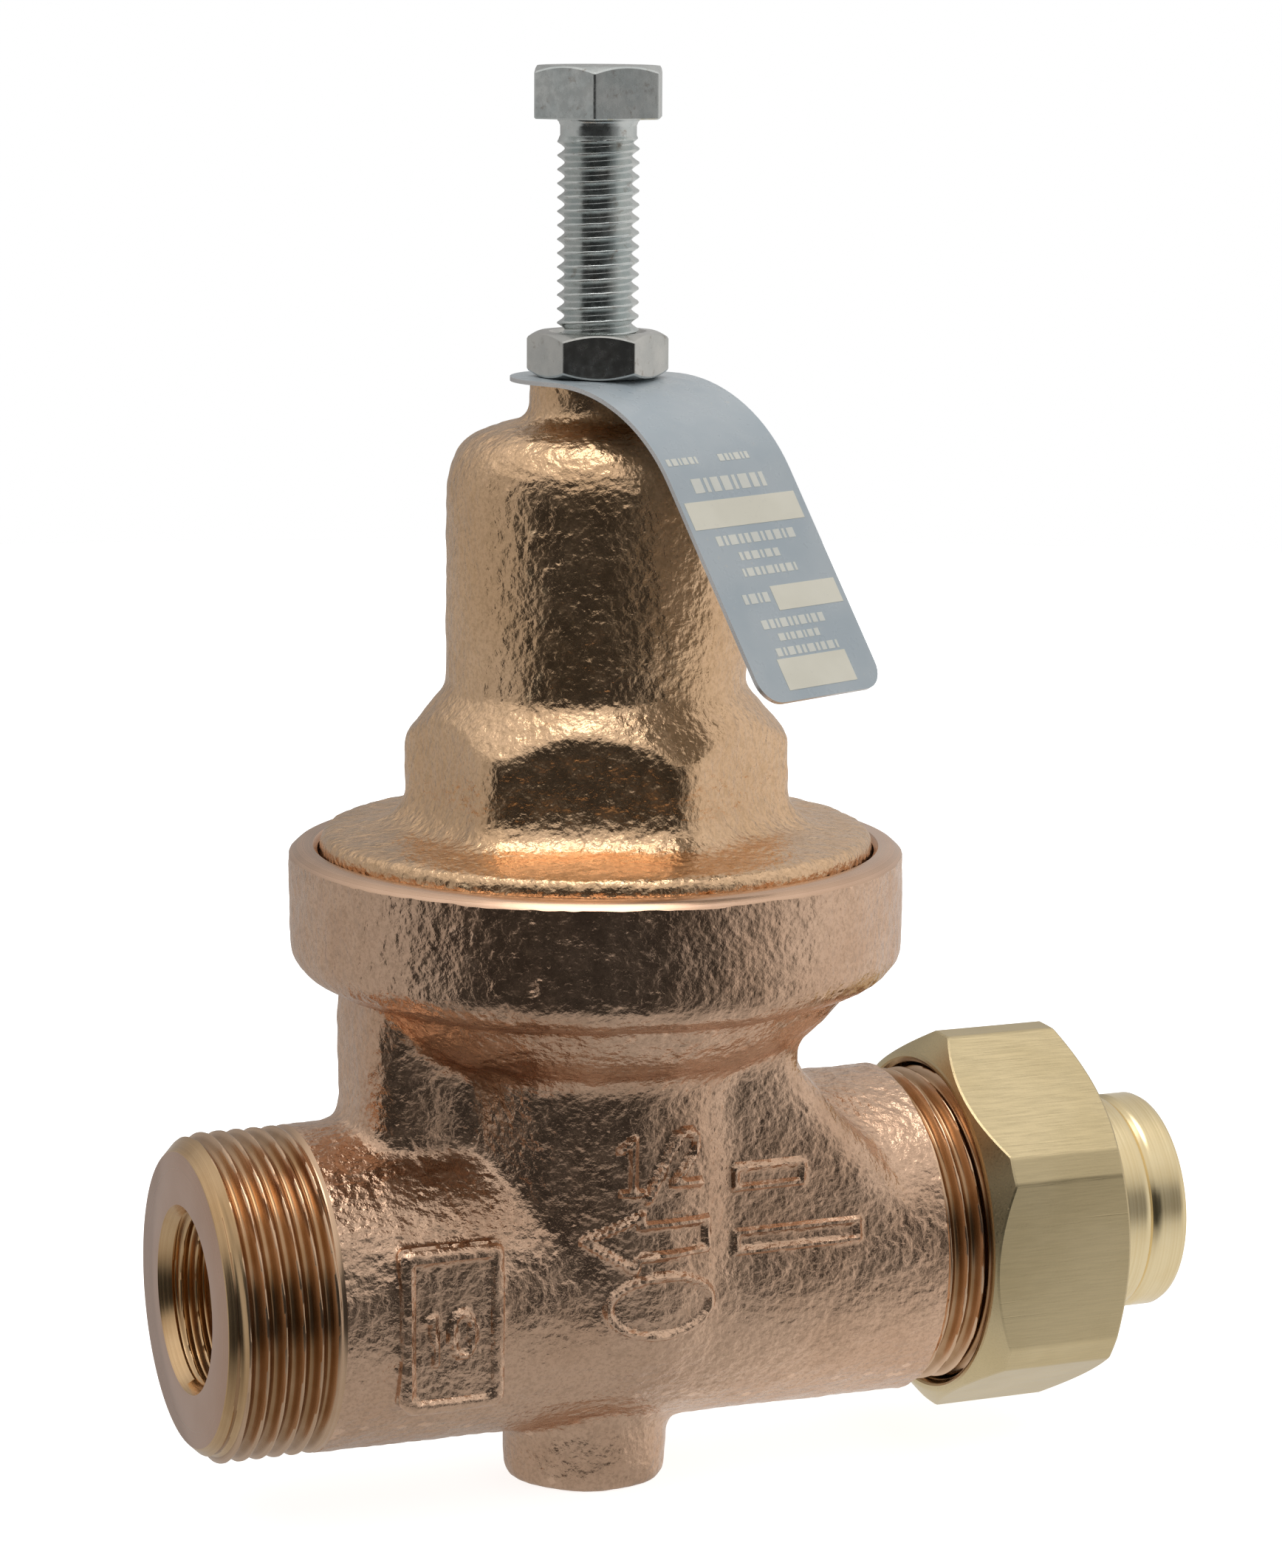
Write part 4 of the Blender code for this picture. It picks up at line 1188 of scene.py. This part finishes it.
# %% Drawn brass
def drawn_brass(name, light, dark):
    finish = new_finish(name, light, 0.3, 1.0)
    tree = finish[1]
    space = own_space(tree)
    streaks = patches(tree, own_space(tree, (0.05, 1.0, 1.0)), 0.22, 4.0, 0.65)
    scratches = patches(tree, own_space(tree, (0.015, 1.0, 1.0)), 0.5, 2.0)
    lines = ramp_between(tree, streaks, 0.35, 0.65, 0.25, 0.0)
    tint = drifting(tree, space, 9.0, light, dark)
    lined = two_colours(tree, lines, tint, tuple(c * 0.62 for c in dark))
    dull = ramp_between(tree, streaks, 0.3, 0.7, 0.27, 0.40)
    drawn = relief(tree, streaks, 0.018, 0.55)
    cut = ramp_between(tree, scratches, 0.66, 0.72, 1.0, 0.0)
    scored = relief(tree, cut, 0.03, 0.35, drawn)
    return wired(finish, lined, dull, relief(tree, patches(tree, space, 0.35, 3.0), 0.015, 0.5, scored))


NUT_BRASS = drawn_brass("nut_brass", (0.72, 0.595, 0.36), (0.66, 0.54, 0.315))
THREAD_BRASS = machined("thread_brass", (0.62, 0.44, 0.22), (0.50, 0.34, 0.16), True, ring=0.3)

# %% Union nut
MOUTH_X, BACK_X, LIP_X = 42.8, 61.0, 57.2
CORNER_R, CORNER_HALF = 23.6, math.radians(4.2)
NUT_BORE_R, TAIL_R = 19.5, 13.25
corner_turns = [math.radians(91.8 + 60 * i) for i in range(6)]
bend_turns = [(c + s * CORNER_HALF) % (2 * math.pi) for c in corner_turns for s in (-1, 1)]
flat_distance = CORNER_R * math.cos(math.radians(30) - CORNER_HALF)
corner_distance = CORNER_R * math.cos(CORNER_HALF)


def nut_radius(turn):
    """The twelve-sided outline: six wide flats and a narrow one across each corner."""
    wide = flats_radius(turn, 2 * flat_distance, corner_turns[0] + math.radians(30))
    narrow = flats_radius(turn, 2 * corner_distance, corner_turns[0])
    return min(wide, narrow)


def union_column(turn):
    """One column of the nut: coned mouth, flat, eased back, then the lip and the bore inside."""
    r = nut_radius(turn)
    mouth = MOUTH_X + (r - 20.8) * 2.6 / 3.0
    rear = BACK_X - max(0.0, r - 20.9) * 0.56
    front = [(20.1, MOUTH_X), (20.8, MOUTH_X), (r, mouth), (r, rear)]
    rim = [(20.9, BACK_X - 0.02), (TAIL_R + 0.9, BACK_X), (TAIL_R + 0.4, BACK_X - 0.5)]
    inside = [(TAIL_R + 0.4, LIP_X), (NUT_BORE_R, LIP_X), (NUT_BORE_R, MOUTH_X + 0.7)]
    return eased(front + rim + inside, 0.16, closed=True)


union_turns = fine_turns(bend_turns, 2.0)
union_columns = [union_column(turn) for turn in union_turns]
union_nut = spin("union_nut_made", union_turns, union_columns, along_x=True, closed=True)
coat(union_nut, NUT_BRASS, THREAD_BRASS)


def nut_inside(middles, normals):
    """The threaded bore of the nut, up to its lip."""
    return (off_run(middles) < 20.3) & (middles[:, 0] < LIP_X + 0.2)


paint_faces(union_nut, 1, nut_inside)
crisp(union_nut, 20)
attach(union_nut, "union_nut")
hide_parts("union_nut")

# %% [markdown]
# ## Tailpiece
#
# The tailpiece is the smooth tube that the pipe joins. It is turned brass, brighter than the nut,
# with a collar that the nut pulls against, a shallow groove near its end, a small chamfer and a
# tapered thread inside.

# %% Tailpiece
TAIL_END, GROOVE_X = 73.2, 68.46
tail_outer = refined([
    (17.2, 52.9), (17.2, 56.8), (TAIL_R, 56.8), (TAIL_R, GROOVE_X - 0.7), (TAIL_R - 0.14, GROOVE_X - 0.45),
    (TAIL_R - 0.38, GROOVE_X), (TAIL_R - 0.14, GROOVE_X + 0.45), (TAIL_R, GROOVE_X + 0.7),
    (TAIL_R, TAIL_END - 0.7), (TAIL_R - 0.25, TAIL_END - 0.2), (TAIL_R - 0.7, TAIL_END),
], 0.5)
tail_socket = refined([(11.3, TAIL_END), (TAPER_R, TAIL_END - 0.4), (9.8, TAIL_END - 14.5)], STEP)
tail_profile = tail_outer + tail_socket + [(8.0, 58.2), (8.0, 52.9)]
tail_thread = inside_thread(
    depth=0.75, pitch=TAPER_PITCH, low=TAIL_END - 13.0, high=TAIL_END - 0.3, fade=0.8, limit=11.4,
)
tailpiece = turned("tailpiece_made", tail_profile, 192, along_x=True, closed=True, thread=tail_thread)
coat(tailpiece, TAIL_BRASS)
crisp(tailpiece, 30)
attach(tailpiece, "tailpiece")
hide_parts("tailpiece")

# %% [markdown]
# ## Rating tag
#
# A thin painted aluminium tag is clamped under the jam nut and bent down over the bonnet. It is one
# sheet, so it is laid out along its length as a strip: a flat end with the screw's hole, an easy
# bend, then a straight tail with rounded corners. The printing is laid on as paint a few hundredths
# of a millimetre thick, as blank panels and rows of plain dashes.

# %% Tag shape
TAG_UNDER, TAG_THICK, TAG_WIDTH = 104.4, 0.5, 20.2
TAG_HEADING, TAG_BEND = math.radians(-65.2), math.radians(58)
TAG_FLAT, TAG_BEND_R, TAG_TAIL, TAG_CORNER = 3.0, 20.4, 27.6, 3.0
TAG_END = TAG_FLAT + TAG_BEND_R * TAG_BEND + TAG_TAIL


def tag_half_width(along):
    """Half the tag's width at a distance along it from the screw's axis."""
    half = TAG_WIDTH / 2
    if along < 0:
        return math.sqrt(max(half * half - along * along, 0.09))
    into = along - (TAG_END - TAG_CORNER)
    if into > 0:
        return half - TAG_CORNER + math.sqrt(max(TAG_CORNER ** 2 - into ** 2, 0.0))
    return half


def on_tag(along, across, lift):
    """A point on the tag's sheet: along it, across it and above its lower face."""
    bent = min(max((along - TAG_FLAT) / TAG_BEND_R, 0.0), TAG_BEND)
    rest = along - TAG_FLAT - TAG_BEND_R * bent if along > TAG_FLAT else 0.0
    out = min(along, TAG_FLAT) + TAG_BEND_R * math.sin(bent) + rest * math.cos(bent)
    drop = TAG_BEND_R * (1 - math.cos(bent)) + rest * math.sin(bent)
    out += lift * math.sin(bent)
    up = TAG_UNDER - drop + lift * math.cos(bent)
    x = out * math.cos(TAG_HEADING) - across * math.sin(TAG_HEADING)
    y = out * math.sin(TAG_HEADING) + across * math.cos(TAG_HEADING)
    return (x, y, up)


# %% Tag sheet
def laid_sheet(name, alongs, half_at, low, high, columns, centre=0.0):
    """A thin closed sheet that follows the tag, between two heights above its lower face."""
    points, faces = [], []
    rows = len(alongs)
    for lift in (low, high):
        for along in alongs:
            for c in range(columns + 1):
                points.append(on_tag(along, centre + half_at(along) * (2 * c / columns - 1), lift))
    wide = columns + 1
    layer = rows * wide
    for base in (0, layer):
        for r in range(rows - 1):
            for c in range(columns):
                a = base + r * wide + c
                faces.append((a, a + 1, a + 1 + wide, a + wide))
    ring = list(range(wide)) + [r * wide + columns for r in range(1, rows)]
    ring += [(rows - 1) * wide + c for c in range(columns - 1, -1, -1)]
    ring += [r * wide for r in range(rows - 2, 0, -1)]
    for a, b in zip(ring, ring[1:] + ring[:1]):
        faces.append((a, b, b + layer, a + layer))
    return piece_from(name, points, faces)


def spaced(low, high, step):
    """Even places from low to high, no further apart than the step."""
    parts = max(1, math.ceil((high - low) / step))
    return [low + (high - low) * i / parts for i in range(parts + 1)]


round_end = [-TAG_WIDTH / 2 * math.cos(math.radians(a)) for a in range(6, 90, 6)]
corner_end = [TAG_END - TAG_CORNER + TAG_CORNER * math.sin(math.radians(a)) for a in range(10, 91, 10)]
alongs = round_end + spaced(0.0, TAG_END - TAG_CORNER, 1.2) + corner_end
tag = laid_sheet("tag_sheet", alongs, tag_half_width, 0.0, TAG_THICK, 16)
tag_hole = [(0, 107.0), (5.2, 107.0), (5.2, 102.0), (0, 102.0)]
carve(tag, turned("tag_hole_tool", tag_hole, 48))
print("tag length in mm:", round(TAG_END + TAG_WIDTH / 2, 1))


# %% [markdown]
# ### Tag paint
#
# The paint is pale blue and glossy, with fine scratches, a few rubbed places and bare metal along
# the sheared edge. The cream panels are printed on top of it and are slightly rougher.

# %% Tag paint
def enamel(name, light, dark, roughness, scuff, **sockets):
    finish = new_finish(name, light, roughness, 0.0, **sockets)
    tree = finish[1]
    space = own_space(tree)
    tint = drifting(tree, space, 8.0, light, dark)
    rubbed = ramp_between(tree, patches(tree, space, 1.3, 6.0, 0.75), 0.60, 0.72, 0.0, 0.6)
    shown = two_colours(tree, rubbed, tint, scuff)
    dull = ramp_between(tree, patches(tree, space, 2.0, 4.0), 0.3, 0.7, roughness - 0.06, roughness + 0.10)
    flow = relief(tree, patches(tree, space, 6.0, 2.0), 0.25, 0.16)
    hair = patches(tree, own_space(tree, (1.0, 0.08, 1.0)), 0.3, 3.0)
    return wired(finish, shown, dull, relief(tree, hair, 0.012, 0.35, flow))


TAG_BLUE = enamel("tag_blue", (0.50, 0.57, 0.62), (0.44, 0.52, 0.58), 0.30, (0.62, 0.63, 0.60),
                  Coat_Weight=0.4, Coat_Roughness=0.18)
TAG_CREAM = enamel("tag_cream", (0.90, 0.88, 0.76), (0.84, 0.82, 0.70), 0.36, (0.66, 0.65, 0.58),
                   Coat_Weight=0.3)
TAG_PALE = enamel("tag_pale_ink", (0.86, 0.87, 0.80), (0.78, 0.80, 0.75), 0.36, (0.56, 0.60, 0.64))
SHEET_METAL = machined("sheet_metal", (0.80, 0.80, 0.80), (0.70, 0.70, 0.70), False, (0.25, 0.4), 0.2, 0.01,
                       (0.35, 0.35, 0.36))
coat(tag, TAG_BLUE, SHEET_METAL)


def sheared(middles, normals):
    """Faces of the tag's thin edge: they are level with neither of its broad faces."""
    run = np.array((math.cos(TAG_HEADING), math.sin(TAG_HEADING)))
    out = middles[:, :2] @ run
    rise = np.clip((out - TAG_FLAT) / TAG_BEND_R, 0, math.sin(TAG_BEND))
    bent = np.clip(np.arcsin(rise), 0, TAG_BEND)
    up = np.stack((run[0] * np.sin(bent), run[1] * np.sin(bent), np.cos(bent)), axis=1)
    return np.abs((normals * up).sum(axis=1)) < 0.5


paint_faces(tag, 1, sheared)
crisp(tag, 35)
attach(tag, "rating_tag")
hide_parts("rating_tag")


# %% Tag printing
def printed(name, low, high, left, right, lift=0.03):
    """A patch of paint on the tag, from low to high along it and left to right across it."""
    half, centre = (right - left) / 2, (right + left) / 2
    alongs = spaced(low, high, 1.2)
    return laid_sheet(name, alongs, lambda along: half, TAG_THICK - 0.02, TAG_THICK + lift, 4, centre)


def dashes(row, low, high, left, right, gaps):
    """A row of short plain dashes that stands for a line of print."""
    widths = [(1.0 + 0.5 * math.sin(2.3 * i + row)) for i in range(gaps)]
    unit = (right - left) / (sum(widths) + 0.45 * (gaps - 1))
    made, at = [], left
    for i, width in enumerate(widths):
        made.append(printed(f"dash_{row}_{i}", low, high, at, at + width * unit, 0.025))
        at += (width + 0.45) * unit
    return made


PANELS = [(26.4, 29.8, -9.4, 9.0), (37.5, 40.5, -1.6, 9.3), (46.2, 50.0, -5.5, 6.0)]
LINES = [
    (20.9, 21.8, -9.2, -4.2, 6), (20.9, 21.8, -0.6, 4.4, 6), (23.6, 25.4, -6.8, 5.2, 8),
    (30.8, 32.0, -6.8, 6.2, 11), (33.0, 34.0, -4.2, 2.4, 6), (35.0, 36.0, -4.8, 4.2, 9),
    (38.1, 39.3, -6.6, -2.4, 4), (41.4, 42.5, -5.4, 5.0, 10), (43.2, 44.1, -3.6, 3.2, 7),
    (44.9, 45.9, -5.0, 5.4, 10),
]
panels = join_pieces("tag_panels", [printed(f"panel_{i}", *spot) for i, spot in enumerate(PANELS)])
coat(panels, TAG_CREAM)
rows = [dash for row, spot in enumerate(LINES) for dash in dashes(row, *spot)]
print_rows = join_pieces("tag_print_rows", rows)
coat(print_rows, TAG_PALE)
for piece in (panels, print_rows):
    crisp(piece, 35)
    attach(piece, "rating_tag")
print("printed rows:", len(LINES), "panels:", len(PANELS))

# %% [markdown]
# ## Range spring
#
# The range spring is a round steel wire wound in open coils, with both ends closed so that they sit
# flat. It is swept as a fine tube between two fixed heights.

# %% Range spring
WIRE_R, COIL_R, COILS = 1.6, 10.6, 6.5
SPRING_LOW, SPRING_HIGH = 41.7, 78.2


def spring_height(turns):
    """Height of the wire's middle after a number of turns: one closed coil at each end."""
    closed = 2 * WIRE_R + 0.25
    low, high = SPRING_LOW + WIRE_R, SPRING_HIGH - WIRE_R
    rise = (high - low - 2 * closed) / (COILS - 2)
    ends = min(turns, 1) + max(turns - COILS + 1, 0)
    return low + closed * ends + rise * min(max(turns - 1, 0), COILS - 2)


def spring_mesh():
    """A round wire swept along the coils, with flat ends."""
    steps, ring = int(COILS * 48), 16
    points, faces = [], []
    for i in range(steps + 1):
        turns = COILS * i / steps
        a = 2 * math.pi * turns
        for k in range(ring):
            b = 2 * math.pi * k / ring
            r = COIL_R + WIRE_R * math.cos(b)
            points.append((r * math.cos(a), r * math.sin(a), spring_height(turns) + WIRE_R * math.sin(b)))
    for i in range(steps):
        for k in range(ring):
            m = (k + 1) % ring
            faces.append((i * ring + k, i * ring + m, (i + 1) * ring + m, (i + 1) * ring + k))
    faces.append(tuple(range(ring)))
    faces.append(tuple(steps * ring + k for k in range(ring)))
    return piece_from("range_spring_made", points, faces)


spring = spring_mesh()
crisp(spring, 40)
SPRING_STEEL = zinc_plating("spring_steel", (0.20, 0.20, 0.21), (0.13, 0.13, 0.14), (0.24, 0.16, 0.10))
coat(spring, SPRING_STEEL)
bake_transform(spring)
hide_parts("range_spring")

# %% [markdown]
# ## Diaphragm
#
# The diaphragm is a sheet of fabric-backed rubber, clamped at its rim and round the stem. Between
# them it has one round fold, which lets the middle rise and fall.

# %% Diaphragm
bows = [math.radians(degrees) for degrees in range(0, 181, 12)]
fold = [(16.0 + 4.6 * (1 - math.cos(a)), 0.42 * math.sin(a)) for a in bows]
upper = [(3.3, 38.7), (14.6, 38.7)] + [(r, 38.2 + z) for r, z in fold] + [(26.4, 38.7), (32.1, 38.7)]
lower = [(32.1, 37.35), (26.4, 37.35)] + [(r, 37.4 + z) for r, z in reversed(fold)]
lower += [(14.6, 37.35), (3.3, 37.35)]
diaphragm = turned("diaphragm_made", upper + lower, 128, closed=True)
crisp(diaphragm, 40)
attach(diaphragm, "valve_body")
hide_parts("diaphragm")
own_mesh(diaphragm)


# %% [markdown]
# ## Rubber, plastic and inner metal
#
# The pieces inside keep their CAD shapes and get the finish of what they are made of. Nothing here is
# a flat colour: rubber has a fine moulded skin and a dusty bloom, nylon has a faint flow pattern, and
# the turned metal keeps its tool lines.

# %% Rubber and plastic
def moulded(name, light, dark, roughness, grain, depth):
    finish = new_finish(name, light, roughness, 0.0)
    tree = finish[1]
    space = own_space(tree)
    bloom = drifting(tree, space, 4.0, light, dark, detail=4.0)
    dull = ramp_between(tree, patches(tree, space, 1.2, 3.0), 0.3, 0.7, roughness - 0.08, roughness + 0.08)
    return wired(finish, bloom, dull, relief(tree, patches(tree, space, grain, 3.0), depth, 0.6))


def woven_wire(name, light, dark):
    """A fine wire cloth: two sets of waves that cross."""
    finish = new_finish(name, light, 0.35, 1.0)
    tree = finish[1]
    space = own_space(tree)
    waves = []
    for way in ("X", "Z"):
        node = add(tree, "TexWave", wave_type="BANDS", bands_direction=way, Scale=650.0, Distortion=0.4)
        tree.links.new(space, node.inputs["Vector"])
        waves.append(node.outputs["Fac"])
    cloth = math_node(tree, "MAXIMUM", *waves)
    shown = two_colours(tree, cloth, dark, light)
    dull = ramp_between(tree, patches(tree, space, 0.8, 3.0), 0.3, 0.7, 0.28, 0.42)
    return wired(finish, shown, dull, relief(tree, cloth, 0.12, 0.9))


BLACK_RUBBER = moulded("black_rubber", (0.020, 0.020, 0.021), (0.034, 0.033, 0.032), 0.55, 0.4, 0.02)
CLOTH_RUBBER = moulded("cloth_rubber", (0.028, 0.027, 0.026), (0.045, 0.043, 0.040), 0.62, 0.25, 0.04)
GUIDE_NYLON = moulded("guide_nylon", (0.74, 0.73, 0.68), (0.66, 0.65, 0.60), 0.42, 1.2, 0.02)
SCREEN_WIRE = woven_wire("screen_wire", (0.60, 0.60, 0.61), (0.08, 0.08, 0.085))
PLATED_STEEL = zinc_plating("plated_steel", (0.60, 0.59, 0.54), (0.52, 0.51, 0.47), (0.34, 0.28, 0.20))
STAINLESS = machined("stainless", (0.66, 0.66, 0.67), (0.60, 0.60, 0.61), False, (0.16, 0.3), 0.2, 0.01,
                     (0.3, 0.3, 0.3))
INNER_BRASS = machined("inner_brass", (0.80, 0.64, 0.36), (0.72, 0.56, 0.30), False, (0.18, 0.32), 0.25, 0.01,
                       (0.35, 0.24, 0.10))
coat(diaphragm, CLOTH_RUBBER)

# %% Finishes for the carried-over pieces
KEPT = {
    BLACK_RUBBER: ("union_gasket", "seat_o_ring", "seat_disc", "piston_o_ring"),
    GUIDE_NYLON: ("guide_bushing", "screen_ring"),
    SCREEN_WIRE: ("strainer_screen",),
    PLATED_STEEL: ("spring_button", "diaphragm_plate", "slip_ring"),
    STAINLESS: ("stem", "seat_bushing"),
    INNER_BRASS: ("diaphragm_nut", "diaphragm_washer", "disc_holder"),
}
for finish, names in KEPT.items():
    for name in names:
        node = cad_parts[name]
        for place in node.material_slots:
            place.material = finish
        if not node.material_slots:
            node.data.materials.append(finish)
print("carried-over pieces:", sum(len(names) for names in KEPT.values()))

# %% [markdown]
# ## Floor
#
# The valve stands on a wide pale floor. To the lens the floor is nearly white, with only a soft
# shadow where the boss touches it. Towards the metal it acts as a white card close to the valve and
# falls off in front, where the dark opening of the tent begins.

# %% Floor
FLOOR_Z = BOSS_BOTTOM - 0.02
FLOOR_GLOW, FLOOR_LAMP = 0.45, 0.80
FLOOR_HALF, FLOOR_SIDES = 900.0, 96
NEAR_FLOOR, FAR_FLOOR = 0.050, 0.130


def pale_floor():
    """Nearly white to the lens, and a glowing card with a dark front part to the metal."""
    made = bpy.data.materials.new("pale_floor")
    made.use_nodes = True
    tree = made.node_tree
    tree.nodes.clear()
    place = add(tree, "TexCoord").outputs["Object"]
    turn, _ = swing_of(tree, place)
    reach = add(tree, "VectorMath", operation="LENGTH")
    tree.links.new(place, reach.inputs[0])
    far = ramp_between(tree, reach.outputs["Value"], NEAR_FLOOR, FAR_FLOOR, 0.0, 0.92)
    lost = math_node(tree, "MULTIPLY", dark_share(tree, turn), far)
    nearness = math_node(tree, "SUBTRACT", 1.0, lost)
    glow = add(tree, "Emission", Color=WARM_WHITE)
    lit_side = ramp_between(tree, turn, *BRIGHTER_FROM, FLOOR_GLOW, FLOOR_GLOW * TENT_RIGHT / TENT_LEFT)
    tree.links.new(math_node(tree, "MULTIPLY", nearness, lit_side), glow.inputs["Strength"])
    matt = add(tree, "BsdfDiffuse", Color=(0.80, 0.80, 0.80, 1.0))
    lamp = add(tree, "Emission", Color=(1.0, 1.0, 1.0, 1.0), Strength=FLOOR_LAMP)
    both_ways = add(tree, "AddShader")
    tree.links.new(matt.outputs[0], both_ways.inputs[0])
    tree.links.new(lamp.outputs[0], both_ways.inputs[1])
    path = add(tree, "LightPath")
    pick = add(tree, "MixShader")
    tree.links.new(path.outputs["Is Camera Ray"], pick.inputs[0])
    tree.links.new(glow.outputs[0], pick.inputs[1])
    tree.links.new(both_ways.outputs[0], pick.inputs[2])
    tree.links.new(pick.outputs[0], add(tree, "OutputMaterial").inputs["Surface"])
    return made


turns = [2 * math.pi * i / FLOOR_SIDES for i in range(FLOOR_SIDES)]
ring = [(FLOOR_HALF * math.cos(a), FLOOR_HALF * math.sin(a)) for a in turns]
floor = block_from("floor", ring, FLOOR_Z, FLOOR_Z - 2)
floor.data.materials.append(pale_floor())
